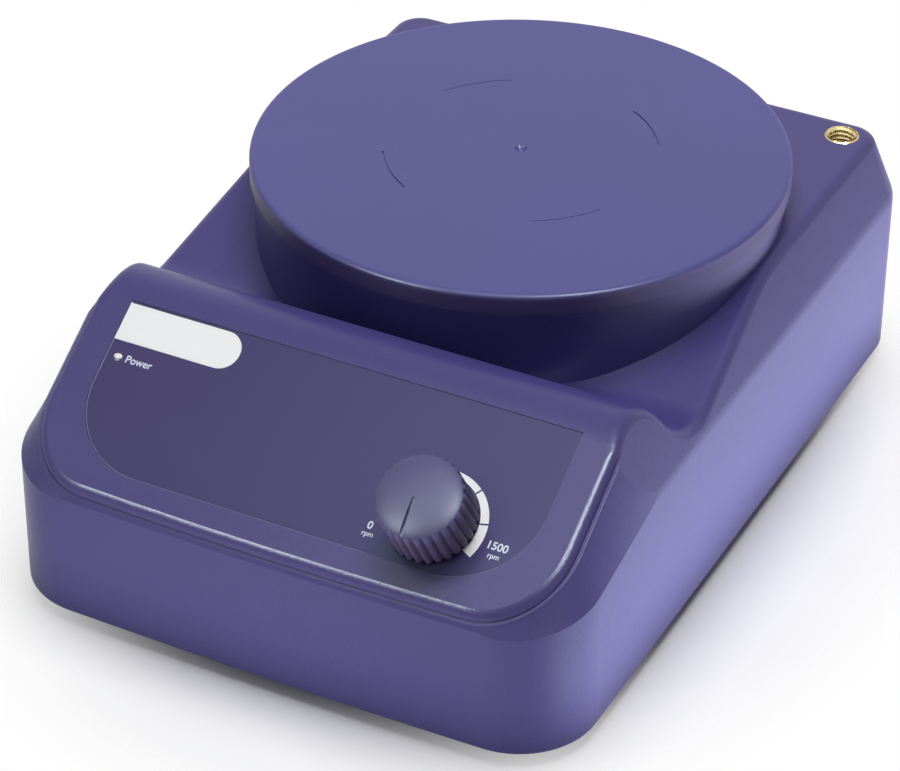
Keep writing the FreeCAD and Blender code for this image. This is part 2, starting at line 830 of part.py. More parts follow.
def make_upper_housing():
    outer = housing_form("outer_form", "0", "0", "foot_height", soft=True)
    drum = rod("drum", DRUM_RADIUS, f"{FLANGE_TOP} - shoulder_height", "0", "plate_y", "shoulder_height")
    bulk = join("housing_bulk", [cut("outer_rimmed", outer, [console_rim()]), drum])
    hollow = [
        housing_form("inner_form", "wall", "roof", "foot_height - far_overcut"),
        rod("drum_bore", DRUM_BORE, f"{FLANGE_UNDERSIDE} - shoulder_height", "0", "plate_y",
            "shoulder_height"),
        rod("flange_bore", FLANGE_BORE, "flange_thick + 2 * overcut", "0", "plate_y",
            f"{FLANGE_UNDERSIDE} - overcut"),
    ]
    shell = cut("housing_shell", bulk, hollow)

    inside = []
    for number, (x, y) in enumerate(BASE_SCREWS):
        inside.append(rod(f"boss_{number}", "base_boss_radius", "housing_boss_height", x, y, BOSS_SEAT))
        web_length = f"({HALF_WIDTH} - wall / 2 - base_screw_x)"
        side = "-1" if x.startswith("-") else "1"
        web_x = f"({x} + {side} * {web_length} / 2)"
        inside.append(block(f"boss_web_{number}", web_length, "wall", "housing_boss_height", web_x, y,
                            BOSS_SEAT))
    inside.append(
        rod("socket_boss", "socket_boss_radius", "socket_boss_length - roof / 2", "socket_x", "socket_y",
            "deck_height - socket_boss_length")
    )
    inside.append(
        block("recess_pad", "recess_width + 2 * wall", "recess_in + wall / 2", "recess_height + 2 * wall",
              "recess_x",
              f"{HALF_LENGTH} - wall / 2 - (recess_in + wall / 2) / 2", "recess_z - recess_height / 2 - wall")
    )
    solid = join("housing_solid", [shell] + inside)

    tools = [rod(f"boss_hole_{number}", PILOT_RADIUS, "base_screw_length", x, y, f"{BOSS_SEAT} - overcut")
             for number, (x, y) in enumerate(BASE_SCREWS)]
    tools += [rod(f"flange_hole_{number}", CLEARANCE_HOLE, "flange_thick + 2 * overcut", x, y,
                  f"{FLANGE_UNDERSIDE} - overcut")
              for number, (x, y) in enumerate(PLATE_SCREW_PLACES)]
    tools.append(
        rod("socket_hole", "socket_radius + fit_gap", "socket_length + far_overcut", "socket_x", "socket_y",
            "deck_height - socket_length")
    )
    recess = panel_outline("overlay_recess", "overlay_width + 2 * recess_gap", "overlay_height + recess_gap",
                           "overlay_corner", "recess_depth + far_overcut", "0")
    on_panel(recess)
    shift(recess, "0", "panel_top_y + recess_depth * sin(panel_slope)",
          "panel_top_z - recess_depth * cos(panel_slope)")
    tools.append(recess)
    tools.append(through_panel("bushing_hole", "bushing_radius + screw_gap", "knob_x", "-knob_drop"))
    tools.append(through_panel("lamp_hole", "lamp_radius + fit_gap", "lamp_x", "-lamp_drop"))
    tools.append(
        block("rear_recess", "recess_width", "recess_in + far_overcut", "recess_height", "recess_x",
              f"{REAR_FACE} + (recess_in + far_overcut) / 2", "recess_z - recess_height / 2")
    )
    tools.append(
        block("inlet_cutout", "inlet_body_width + 2 * opening_gap", "4 * far_overcut",
              "inlet_body_height + 2 * opening_gap",
              "inlet_x", REAR_FACE, "recess_z - inlet_body_height / 2 - opening_gap")
    )
    tools.append(
        block("switch_cutout", "switch_body_width + 2 * opening_gap", "4 * far_overcut",
              "switch_body_height + 2 * opening_gap",
              "switch_x", REAR_FACE, "recess_z - switch_body_height / 2 - opening_gap")
    )
    return node("upper_housing", cut("upper_housing_solid", solid, tools))


def panel_rod(name, radius, low, high, x, up):
    """A cylinder square to the sloping panel, between two heights above the panel face."""
    cylinder = rod(name, radius, f"({high}) - ({low})")
    on_panel(cylinder)
    return place_on_panel(cylinder, x, up, low)


def place_on_panel(thing, x, up, above):
    """Move an object that is turned to the panel to a spot on it: across, up the slope and off its face."""
    return shift(
        thing,
        x,
        f"panel_top_y + ({up}) * cos(panel_slope) - ({above}) * sin(panel_slope)",
        f"panel_top_z + ({up}) * sin(panel_slope) + ({above}) * cos(panel_slope)",
    )


def through_panel(name, radius, x, up):
    """A hole tool right through the panel wall."""
    return panel_rod(name, radius, f"-{PANEL_THICK} - far_overcut", "far_overcut", x, up)


def make_base():
    plan = plan_prism(
        "base_plan", f"({HALF_WIDTH} - wall - base_gap)", f"(-{HALF_LENGTH} + wall + base_gap)",
        f"({HALF_LENGTH} - wall - base_gap)",
        ("front_corner - wall - base_gap", "rear_corner - wall - base_gap"),
        "foot_height", BASE_TOP,
    )
    raised = [plan]
    for number, (x, y) in enumerate(BASE_SCREWS):
        raised.append(rod(f"base_boss_{number}", "base_boss_radius", "base_boss_height", x, y, "foot_height"))
    for number, (x, y) in enumerate(BRACKET_SCREW_PLACES):
        raised.append(rod(f"bracket_post_{number}", "post_radius", f"{POST_TOP} - foot_height", x, y,
                          "foot_height"))
    for number, (x, y) in enumerate(BOARD_SCREW_PLACES):
        raised.append(
            rod(f"board_post_{number}", "post_radius", f"{BOARD_UNDERSIDE} - foot_height", x, y,
                "foot_height")
        )
    tools = []
    head_room = "(base_boss_height / 2)"
    for number, (x, y) in enumerate(BASE_SCREWS):
        tools.append(rod(f"base_hole_{number}", CLEARANCE_HOLE, "base_boss_height + 2 * overcut", x, y,
                         "foot_height - overcut"))
        tools.append(
            rod(f"base_head_{number}", "screw_head_radius + screw_gap", f"{head_room} + overcut", x, y,
                "foot_height - overcut")
        )
    for number, (x, y) in enumerate(BRACKET_SCREW_PLACES):
        tools.append(
            rod(f"bracket_pilot_{number}", PILOT_RADIUS, "post_screw_depth + overcut", x, y,
                f"{POST_TOP} - post_screw_depth")
        )
    for number, (x, y) in enumerate(BOARD_SCREW_PLACES):
        tools.append(
            rod(f"board_pilot_{number}", "board_screw_radius + fit_gap", "post_screw_depth + overcut", x, y,
                f"{BOARD_UNDERSIDE} - post_screw_depth")
        )
    for number, (x, y) in enumerate(FEET):
        tools.append(rod(f"foot_hole_{number}", "foot_stem_radius + fit_gap", "base_thick + 2 * overcut", x,
                         y,
                         "foot_height - overcut"))
    for number in range(int(value("vent_count"))):
        along = f"(plate_y + ({number} - (vent_count - 1) / 2) * vent_pitch)"
        tools.append(block(f"vent_{number}", "vent_length", "vent_width", "base_thick + 2 * overcut", "0",
                           along,
                           "foot_height - overcut"))
    node("base_plate", cut("base_plate_solid", join("base_raised", raised), tools))

    feet = []
    for number, (x, y) in enumerate(FEET):
        foot = lathe(f"foot_{number}", [
            ("0", "0"), ("foot_radius - foot_chamfer", "0"), ("foot_radius", "foot_chamfer"),
            ("foot_radius", "foot_height"),
            ("foot_stem_radius", "foot_height"), ("foot_stem_radius", BASE_TOP), ("0", BASE_TOP),
        ])
        feet.append(shift(foot, x, y, "0"))
    node("rubber_feet", group("feet", feet))
    node("base_screws", group("base_screw_set", [
        screw(f"base_screw_{number}", x, y, f"(foot_height + {head_room})", "base_screw_length", down=False)
        for number, (x, y) in enumerate(BASE_SCREWS)
    ]))


def plate_marks():
    """Four short grooves on one circle and a dimple in the middle, cut into the top of the plate."""
    marks = []
    for number, middle in enumerate((45, 135, 225, 315)):
        arc = rod(f"mark_arc_{number}", "mark_circle + mark_width / 2", "mark_depth + overcut")
        bind(arc, Angle="mark_span")
        core = rod(f"mark_core_{number}", "mark_circle - mark_width / 2", "mark_depth + 3 * overcut",
                   z="-overcut")
        groove = cut(f"mark_{number}", arc, [core])
        turn(groove, Z_AXIS, f"{middle} - mark_span / 2")
        marks.append(shift(groove, "0", "plate_y", "plate_top - mark_depth"))
    dimple = lathe("centre_dimple", [
        ("0", "-centre_mark_radius"), ("centre_mark_radius", "0"), ("centre_mark_radius", "overcut"),
        ("0", "overcut"),
    ])
    return marks + [shift(dimple, "0", "plate_y", "plate_top")]


def make_plate():
    points = [
        ("0", PLATE_UNDERSIDE), (SKIRT_BORE, PLATE_UNDERSIDE), (SKIRT_BORE, "plate_top - skirt_height"),
        ("plate_radius", "plate_top - skirt_height"), ("plate_radius", "plate_top"), ("0", "plate_top"),
    ]
    disc = lathe("plate_disc", points)
    top = value("plate_top")
    edge_radius = value("plate_radius")

    def rim(edge):
        box = edge.BoundBox
        return abs(box.ZMin - top) < 1e-6 and abs(box.ZMax - top) < 1e-6 and box.XLength > edge_radius

    round_edges(disc, "plate_edge", rim, "plate_edge_round")
    shift(disc, "0", "plate_y", "0")
    pilots = [rod(f"plate_pilot_{number}", PILOT_RADIUS, "plate_screw_depth + overcut", x, y,
                  f"{PLATE_UNDERSIDE} - overcut")
              for number, (x, y) in enumerate(PLATE_SCREW_PLACES)]
    node("stirring_plate", cut("plate_solid", disc, pilots + plate_marks()))
    ring = tube("gasket_ring", f"{PLATE_SCREW_CIRCLE} + gasket_width / 2",
                f"{PLATE_SCREW_CIRCLE} - gasket_width / 2",
                "gasket_thick", "0", "plate_y", FLANGE_TOP)
    holes = [rod(f"gasket_hole_{number}", CLEARANCE_HOLE, "gasket_thick + 2 * overcut", x, y,
                 f"{FLANGE_TOP} - overcut")
             for number, (x, y) in enumerate(PLATE_SCREW_PLACES)]
    node("plate_gasket", cut("gasket_solid", ring, holes))
    length = "(flange_thick + gasket_thick + plate_screw_depth - fit_gap)"
    node("plate_screws", group("plate_screw_set", [
        screw(f"plate_screw_{number}", x, y, FLANGE_UNDERSIDE, length, down=False)
        for number, (x, y) in enumerate(PLATE_SCREW_PLACES)
    ]))


def make_panel():
    sheet_piece = panel_outline("overlay_sheet", "overlay_width", "overlay_height", "overlay_corner",
                                "overlay_thick",
                                "0")
    on_panel(sheet_piece)
    place_on_panel(sheet_piece, "0", "0", "-recess_depth")
    holes = [
        through_panel("overlay_bushing_hole", "bushing_radius + screw_gap", "knob_x", "-knob_drop"),
        through_panel("overlay_lamp_hole", "lamp_radius + fit_gap", "lamp_x", "-lamp_drop"),
    ]
    node("panel_overlay", cut("overlay_solid", sheet_piece, holes))

    label_round = "(label_height / 2)"
    strip = block("label_strip", f"label_length - {label_round}", "label_height", "label_thick",
                  f"(label_length - {label_round}) / 2", "0", "0")
    end = rod("label_end", label_round, "label_thick", f"label_length - {label_round}")
    label = join("label_solid", [strip, end])
    on_panel(label)
    node("blank_label",
         place_on_panel(label, "-overlay_width / 2", f"-label_drop - {label_round}", OVERLAY_TOP))

    lens = panel_rod("lamp_lens", "lamp_radius", f"-{PANEL_THICK} - lamp_collar_thick",
                     f"{OVERLAY_TOP} + lamp_proud",
                     "lamp_x", "-lamp_drop")
    collar = panel_rod("lamp_collar", "lamp_collar_radius", f"-{PANEL_THICK} - lamp_collar_thick",
                       f"-{PANEL_THICK}", "lamp_x", "-lamp_drop")
    node("power_lamp", join("lamp_solid", [lens, collar]))


def make_knob():
    lift = f"({OVERLAY_TOP} + knob_lift)"
    spindle_top = f"({lift} + spindle_top)"
    dome = "(knob_height - knob_shoulder_height)"
    crown = [(f"knob_shoulder_radius * cos({angle})", f"knob_shoulder_height + {dome} * sin({angle})")
             for angle in range(0, 90, 10)]
    profile = lathe("knob_turned", [("0", "0"), ("knob_radius", "0"), *crown, ("0", "knob_height")])
    flutes = []
    for number in range(int(value("knob_flutes"))):
        x, y = around("0", "0", "knob_radius", f"{number} * 360 / knob_flutes")
        flutes.append(rod(f"flute_{number}", "knob_flute_radius",
                          f"knob_shoulder_height + {dome} / 5 + overcut", x, y, "-overcut"))
    pointer = block("pointer_groove", "pointer_width", "knob_radius", "knob_height")
    turn(pointer, X_AXIS, "pointer_tilt")
    shift(pointer, "-pointer_width / 2", "-pointer_start - knob_radius * cos(pointer_tilt)",
          "knob_height - pointer_depth - knob_radius * sin(pointer_tilt)")
    hollow = rod("knob_hollow", "knob_hollow_radius", "knob_hollow_height + overcut", "0", "0", "-overcut")
    bore = rod("knob_bore", "spindle_radius + fit_gap", "spindle_top + fit_gap + overcut", "0", "0",
               "-overcut")
    knob = cut("knob_solid", profile, flutes + [pointer, hollow, bore])
    on_panel(knob)
    node("speed_knob", place_on_panel(knob, "knob_x", "-knob_drop", lift))

    spot = ("knob_x", "-knob_drop")
    spindle_foot = f"(-{PANEL_THICK} - pot_depth / 2)"
    node("potentiometer_shaft", panel_rod("spindle", "spindle_radius", spindle_foot, spindle_top, *spot))

    can = panel_rod("pot_can", "pot_radius", f"-{PANEL_THICK} - pot_depth", f"-{PANEL_THICK}", *spot)
    bushing = panel_rod("pot_bushing", "bushing_radius", f"-{PANEL_THICK} - overcut",
                        f"{OVERLAY_TOP} + bushing_proud",
                        *spot)
    bore = panel_rod("pot_bore", "spindle_radius + spindle_gap", f"{spindle_foot} - spindle_gap",
                     spindle_top, *spot)
    node("potentiometer_body", cut("pot_solid", join("pot_blank", [can, bushing]), [bore]))

    washer = panel_rod("washer_disc", "washer_radius", OVERLAY_TOP, f"{OVERLAY_TOP} + washer_thick", *spot)
    washer_hole = panel_rod("washer_hole", "bushing_radius + fit_gap", f"{OVERLAY_TOP} - overcut",
                            f"{OVERLAY_TOP} + washer_thick + overcut", *spot)
    node("potentiometer_washer", cut("washer_solid", washer, [washer_hole]))

    nut_foot = f"({OVERLAY_TOP} + washer_thick)"
    hexagon = doc.addObject("Part::Prism", "nut_hexagon")
    hexagon.Polygon = 6
    bind(hexagon, Circumradius="nut_radius", Height="nut_thick")
    on_panel(hexagon)
    place_on_panel(hexagon, *spot, nut_foot)
    nut_hole = panel_rod("nut_hole", "bushing_radius + fit_gap", f"{nut_foot} - overcut",
                         f"{nut_foot} + nut_thick + overcut",
                         *spot)
    node("potentiometer_nut", cut("nut_solid", hexagon, [nut_hole]))

    board = block("control_board_sheet", "control_board_width", "control_board_height", "board_thick")
    on_panel(board)
    place_on_panel(board, "knob_x - control_board_width / 2", "-knob_drop - control_board_height / 2",
                   f"-{PANEL_THICK} - pot_depth - board_thick")
    node("control_board", board)


def make_rod_socket():
    depth_z = "(socket_length + socket_proud - socket_depth)"
    top = "(socket_length + socket_proud)"
    socket = lathe("socket_turned", [
        ("0", "0"), ("socket_radius", "0"), ("socket_radius", top), ("socket_bore + socket_chamfer", top),
        ("socket_bore", f"{top} - socket_chamfer"), ("socket_bore", depth_z), ("0", depth_z),
    ])
    node("rod_socket", shift(socket, "socket_x", "socket_y", "deck_height - socket_length"))


def make_bracket():
    bridge = block("bridge", "2 * bracket_half_span", "bracket_width", "bracket_thick", "0", "plate_y",
                   MOTOR_TOP)
    pieces = [bridge]
    for number, side in enumerate(("-1", "1")):
        leg_x = f"({side} * (bracket_half_span - bracket_thick / 2))"
        pieces.append(block(f"leg_{number}", "bracket_thick", "bracket_width", f"bracket_top - {POST_TOP}",
                            leg_x,
                            "plate_y", POST_TOP))
        foot_x = f"({side} * (bracket_half_span + bracket_flange / 2 - bracket_thick / 2))"
        pieces.append(block(f"leg_foot_{number}", "bracket_flange + bracket_thick", "bracket_width",
                            "bracket_thick",
                            foot_x, "plate_y", POST_TOP))
    holes = [rod("bridge_hole", "bracket_hole", "bracket_thick + 2 * overcut", "0", "plate_y",
                 f"{MOTOR_TOP} - overcut")]
    holes += [rod(f"bridge_screw_hole_{number}", CLEARANCE_HOLE, "bracket_thick + 2 * overcut", x, y,
                  f"{MOTOR_TOP} - overcut")
              for number, (x, y) in enumerate(MOTOR_SCREW_PLACES)]
    holes += [rod(f"foot_screw_hole_{number}", CLEARANCE_HOLE, "bracket_thick + 2 * overcut", x, y,
                  f"{POST_TOP} - overcut")
              for number, (x, y) in enumerate(BRACKET_SCREW_PLACES)]
    node("motor_bracket", cut("bracket_solid", join("bracket_blank", pieces), holes))
    node("bracket_screws", group("bracket_screw_set", [
        screw(f"bracket_screw_{number}", x, y, f"({POST_TOP} + bracket_thick)",
              "(bracket_thick + post_screw_depth - fit_gap)")
        for number, (x, y) in enumerate(BRACKET_SCREW_PLACES)
    ]))


def make_motor():
    inner = "(motor_radius - motor_wall)"
    seat = "(bearing_radius + fit_gap)"
    can = lathe("can_turned", [
        (seat, "motor_length - motor_cap_thick"), (inner, "motor_length - motor_cap_thick"), (inner, "0"),
        ("motor_radius", "0"), ("motor_radius", "motor_length"), (seat, "motor_length"),
    ])
    shift(can, "0", "plate_y", MOTOR_FOOT)
    pilots = [rod(f"can_pilot_{number}", PILOT_RADIUS, "motor_screw_depth + overcut", x, y,
                  f"{MOTOR_TOP} - motor_screw_depth") for number, (x, y) in enumerate(MOTOR_SCREW_PLACES)]
    node("motor_can", cut("can_solid", can, pilots))
    node("motor_end_cap",
         tube("end_cap", f"{inner} - fit_gap", seat, "motor_cap_thick", "0", "plate_y", MOTOR_FOOT))
    race = "(shaft_radius + shaft_gap)"
    node("upper_bearing", tube("bearing_top", "bearing_radius", race, "motor_cap_thick", "0", "plate_y",
                               f"{MOTOR_TOP} - motor_cap_thick"))
    node("lower_bearing",
         tube("bearing_low", "bearing_radius", race, "motor_cap_thick", "0", "plate_y", MOTOR_FOOT))
    stack_foot = f"({MOTOR_FOOT} + (motor_length - stator_length) / 2)"
    node("stator_core", tube("stator", f"{inner} - fit_gap", "stator_bore", "stator_length", "0", "plate_y",
                             stack_foot))
    node("rotor_core", tube("rotor", "stator_bore - air_gap", "shaft_radius + fit_gap", "stator_length", "0",
                            "plate_y", stack_foot))
    node("motor_screws", group("motor_screw_set", [
        screw(f"motor_screw_{number}", x, y, "bracket_top", "(bracket_thick + motor_screw_depth - fit_gap)")
        for number, (x, y) in enumerate(MOTOR_SCREW_PLACES)
    ]))
    shaft_top = f"({CARRIER_TOP} - shaft_drop)"
    node("motor_shaft",
         rod("shaft", "shaft_radius", f"{shaft_top} - {MOTOR_FOOT}", "0", "plate_y", MOTOR_FOOT))


def make_carrier():
    disc_foot = f"({CARRIER_TOP} - carrier_thick)"
    disc = rod("carrier_disc", "carrier_radius", "carrier_thick", "0", "plate_y", disc_foot)
    hub = rod("carrier_hub", "hub_radius", "hub_height + overcut", "0", "plate_y", HUB_FOOT)
    bore = rod("carrier_bore", "shaft_radius + fit_gap", "carrier_thick + hub_height + 2 * overcut", "0",
               "plate_y",
               f"{HUB_FOOT} - overcut")
    places = [("magnet_circle", "plate_y"), ("-magnet_circle", "plate_y")]
    pockets = [rod(f"magnet_pocket_{number}", "magnet_radius + fit_gap", "magnet_depth + overcut", x, y,
                   f"{CARRIER_TOP} - magnet_depth") for number, (x, y) in enumerate(places)]
    screw_z = f"({HUB_FOOT} + hub_height / 2)"
    thread = cross_rod("set_screw_hole", "set_screw_radius + fit_gap", "hub_radius + overcut", "0",
                       "plate_y", screw_z)
    node("magnet_carrier", cut("carrier_solid", join("carrier_blank", [disc, hub]), [bore, thread] + pockets))
    node("drive_magnets", group("magnet_pair", [
        rod(f"magnet_{number}", "magnet_radius", "magnet_depth + magnet_proud", x, y,
            f"{CARRIER_TOP} - magnet_depth")
        for number, (x, y) in enumerate(places)
    ]))
    grip = "(shaft_radius + fit_gap)"
    node("carrier_set_screw",
         cross_rod("set_screw", "set_screw_radius", f"hub_radius - {grip}", grip, "plate_y",
                                        screw_z))


def make_driver_board():
    board = block("driver_board_sheet", "driver_board_width", "driver_board_depth", "board_thick", "0",
                  "driver_board_y", BOARD_UNDERSIDE)
    holes = [rod(f"board_hole_{number}", "board_screw_radius + screw_gap", "board_thick + 2 * overcut", x, y,
                 f"{BOARD_UNDERSIDE} - overcut") for number, (x, y) in enumerate(BOARD_SCREW_PLACES)]
    node("driver_board", cut("driver_board_solid", board, holes))
    node("board_screws", group("board_screw_set", [
        screw(f"board_screw_{number}", x, y, BOARD_TOP, "(board_thick + post_screw_depth - fit_gap)",
              radius="board_screw_radius", head="board_screw_head")
        for number, (x, y) in enumerate(BOARD_SCREW_PLACES)
    ]))
    node("transformer",
         block("transformer_block", "transformer_width", "transformer_depth", "transformer_height",
                              "transformer_x", "driver_board_y", BOARD_TOP))
    node("capacitors", group("capacitor_pair", [
        rod(f"capacitor_{number}", "capacitor_radius", "capacitor_height",
            f"capacitor_x + {number} * (2 * capacitor_radius + capacitor_gap)",
            "driver_board_y + driver_board_depth / 2 - capacitor_radius - board_margin", BOARD_TOP)
        for number in range(2)
    ]))
    fin_pitch = "(sink_width / sink_fins)"
    gaps = [block(f"fin_gap_{number}", f"{fin_pitch} / 2", "sink_depth + 2 * overcut", "sink_height",
                  f"sink_x - sink_width / 2 + {number + 1} * {fin_pitch}", "driver_board_y",
                  f"{BOARD_TOP} + sink_base") for number in range(int(value("sink_fins")) - 1)]
    sink = block("sink_block", "sink_width", "sink_depth", "sink_height", "sink_x", "driver_board_y",
                 BOARD_TOP)
    node("heat_sink", cut("sink_solid", sink, gaps))
    terminal_y = "driver_board_y - driver_board_depth / 2 + terminal_depth / 2 + board_margin"
    node("terminal_block", block("terminal_body", "terminal_width", "terminal_depth", "terminal_height",
                                 "sink_x", terminal_y, BOARD_TOP))


def make_inlet():
    flange = block("inlet_plate", "inlet_width", "inlet_flange", "inlet_height", "inlet_x",
                   f"{REAR_FACE} + inlet_flange / 2", "recess_z - inlet_height / 2")
    body = block("inlet_body", "inlet_body_width", "inlet_body_depth + inlet_flange", "inlet_body_height",
                 "inlet_x",
                 f"{INLET_FACE} - (inlet_body_depth + inlet_flange) / 2", "recess_z - inlet_body_height / 2")
    mouth_z = "(recess_z + mouth_lift)"
    mouth = block("inlet_mouth", "mouth_width", "mouth_depth + far_overcut", "mouth_height", "inlet_x",
                  f"{INLET_FACE} + far_overcut - (mouth_depth + far_overcut) / 2",
                  f"{mouth_z} - mouth_height / 2")
    slot_width = "(drawer_width + 2 * drawer_gap)"
    slot_height = "(drawer_height + 2 * drawer_gap)"
    slot = block("drawer_slot", slot_width, "drawer_length + drawer_gap + far_overcut", slot_height,
                 "inlet_x",
                 f"{INLET_FACE} + far_overcut - (drawer_length + drawer_gap + far_overcut) / 2",
                 f"{DRAWER_Z} - {slot_height} / 2")
    pin_foot = f"({INLET_FACE} - mouth_depth)"
    pin_places = [("-1", "0"), ("0", "1"), ("1", "0")]
    pins = []
    slits = []
    for number, (across, up) in enumerate(pin_places):
        spot = (f"(inlet_x + {across} * pin_pitch)", f"({mouth_z} - pin_drop + {up} * pin_rise)")
        length = "(pin_length + inlet_body_depth - mouth_depth + inlet_flange + pin_tail)"
        centre = f"({pin_foot} + pin_length - {length} / 2)"
        pins.append(block(f"pin_{number}", "pin_thick", length, "pin_width", spot[0], centre,
                          f"{spot[1]} - pin_width / 2"))
        slits.append(block(f"pin_slit_{number}", "pin_thick + 2 * fit_gap", f"{length} + 2 * overcut",
                           "pin_width + 2 * fit_gap",
                           spot[0], centre, f"{spot[1]} - pin_width / 2 - fit_gap"))
    node("mains_inlet", cut("inlet_solid", join("inlet_blank", [flange, body]), [mouth, slot] + slits))
    node("inlet_pins", group("pin_set", pins))

    drawer_y = f"({INLET_FACE} - drawer_length / 2)"
    drawer = block("drawer_block", "drawer_width", "drawer_length", "drawer_height", "inlet_x", drawer_y,
                   f"{DRAWER_Z} - drawer_height / 2")
    tray_width = "(fuse_length + 2 * fuse_gap)"
    tray_depth = "(2 * fuse_radius + 2 * fuse_gap)"
    floor = f"({DRAWER_Z} - drawer_height / 2 + tray_floor)"
    tray = block("fuse_tray", tray_width, tray_depth, "drawer_height", "inlet_x", drawer_y, floor)
    node("fuse_drawer", cut("drawer_solid", drawer, [tray]))
    node("fuse", cross_rod("fuse_tube", "fuse_radius", "fuse_length", "inlet_x - fuse_length / 2", drawer_y,
                           f"{floor} + fuse_radius"))


def make_switch():
    flange = block("switch_plate", "switch_width", "switch_flange", "switch_height", "switch_x",
                   f"{REAR_FACE} + switch_flange / 2", "recess_z - switch_height / 2")
    body = block("switch_body", "switch_body_width", "switch_body_depth + switch_flange",
                 "switch_body_height",
                 "switch_x", f"{SWITCH_FACE} - (switch_body_depth + switch_flange) / 2",
                 "recess_z - switch_body_height / 2")
    bay = block("rocker_bay", "rocker_width + 2 * rocker_gap", "rocker_depth + far_overcut", ROCKER_BAY,
                "switch_x",
                f"{SWITCH_FACE} + far_overcut - (rocker_depth + far_overcut) / 2",
                f"recess_z - {ROCKER_BAY} / 2")
    pivot_reach = "(rocker_width / 2 + pivot_length)"
    pivot_hole = cross_rod("pivot_hole", "pivot_radius + fit_gap", f"2 * ({pivot_reach} + fit_gap)",
                           f"switch_x - {pivot_reach} - fit_gap", PIVOT_Y, "recess_z")
    node("switch_frame", cut("switch_solid", join("switch_blank", [flange, body]), [bay, pivot_hole]))

    half = "(rocker_height / 2)"
    points = [
        ("-pivot_radius - pivot_web", f"-{half} / 2"), ("rocker_rise", f"-{half}"),
        ("rocker_rise - rocker_dip", "0"), ("rocker_rise", half),
        ("-pivot_radius - pivot_web", f"{half} / 2"),
    ]
    paddle = prism("rocker_paddle", "YZ_Plane", points, "rocker_width", middle=True)
    pivot = cross_rod("rocker_pivot", "pivot_radius", f"2 * {pivot_reach}", f"-{pivot_reach}")
    rocker = join("rocker_solid", [paddle, pivot])
    turn(rocker, X_AXIS, "rocker_tilt")
    node("switch_rocker", shift(rocker, "switch_x", PIVOT_Y, "recess_z"))


make_upper_housing()
make_base()
make_plate()
make_panel()
make_knob()
make_rod_socket()
make_bracket()
make_motor()
make_carrier()
make_driver_board()
make_inlet()
make_switch()
doc.recompute()

for item in doc.Objects:
    if "Invalid" in item.State or "Error" in item.State:
        raise RuntimeError(f"{item.Name} failed: {item.getStatusString()}")
for item in NODES:
    if item.Shape.isNull() or not item.Shape.isValid():
        raise RuntimeError(f"{item.Label} has no valid shape")

os.makedirs("parts", exist_ok=True)
for item in NODES:
    item.Shape.exportStep(os.path.join("parts", f"{item.Label}.step"))
    print(item.Label, len(item.Shape.Solids), "solids", round(item.Shape.Volume / 1000, 2), "cm3")
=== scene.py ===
import math

import bmesh
import bpy
from mathutils import Matrix, Vector


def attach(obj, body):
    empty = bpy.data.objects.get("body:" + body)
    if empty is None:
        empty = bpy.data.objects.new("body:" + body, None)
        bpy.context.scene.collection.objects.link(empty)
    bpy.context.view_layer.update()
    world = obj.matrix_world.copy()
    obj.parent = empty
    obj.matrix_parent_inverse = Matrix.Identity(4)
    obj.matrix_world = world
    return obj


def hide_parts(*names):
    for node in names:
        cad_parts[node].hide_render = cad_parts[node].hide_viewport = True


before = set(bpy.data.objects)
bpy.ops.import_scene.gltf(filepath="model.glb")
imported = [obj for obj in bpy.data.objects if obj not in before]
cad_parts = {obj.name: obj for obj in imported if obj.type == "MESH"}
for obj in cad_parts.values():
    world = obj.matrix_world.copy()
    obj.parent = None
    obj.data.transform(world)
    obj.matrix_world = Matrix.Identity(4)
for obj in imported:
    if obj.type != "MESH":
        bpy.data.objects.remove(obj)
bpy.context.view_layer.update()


# Base plate.
# A flat tray that closes the case from below, moulded in a darker shade of the case plastic.
# It carries the boards, the motor bracket and the feet, and four screws hold it to the housing.

MM = 0.001


def shared_effect(name, inputs, outputs):
    """A node group with named inputs and outputs."""
    tree = bpy.data.node_groups.new(name, "ShaderNodeTree")
    for label, kind, start in inputs:
        socket = tree.interface.new_socket(label, in_out="INPUT", socket_type=kind)
        socket.default_value = start
    for label, kind in outputs:
        tree.interface.new_socket(label, in_out="OUTPUT", socket_type=kind)
    given = tree.nodes.new("NodeGroupInput").outputs
    made = tree.nodes.new("NodeGroupOutput").inputs
    return tree, given, made


def feed(tree, value, socket):
    """Give a socket a plain value, or the output of another node."""
    if isinstance(value, bpy.types.NodeSocket):
        tree.links.new(value, socket)
    else:
        socket.default_value = value


def combine(tree, operation, *values):
    """A Math node whose inputs are numbers or the outputs of other nodes."""
    step = tree.nodes.new("ShaderNodeMath")
    step.operation = operation
    for socket, value in zip(step.inputs, values):
        feed(tree, value, socket)
    return step.outputs["Value"]


def noise(tree, scale, detail, stretch=None):
    """A noise texture in the coordinates of the piece, in metres, that may be stretched."""
    place = tree.nodes.new("ShaderNodeTexCoord").outputs["Object"]
    if stretch:
        mapping = tree.nodes.new("ShaderNodeMapping")
        feed(tree, stretch, mapping.inputs["Scale"])
        feed(tree, place, mapping.inputs["Vector"])
        place = mapping.outputs["Vector"]
    texture = tree.nodes.new("ShaderNodeTexNoise")
    feed(tree, place, texture.inputs["Vector"])
    feed(tree, scale, texture.inputs["Scale"])
    feed(tree, detail, texture.inputs["Detail"])
    return texture.outputs["Fac"]


def swing(tree, texture, amount):
    """How far a texture is from its middle, times an amount."""
    return combine(tree, "MULTIPLY", combine(tree, "SUBTRACT", texture, 0.5), amount)


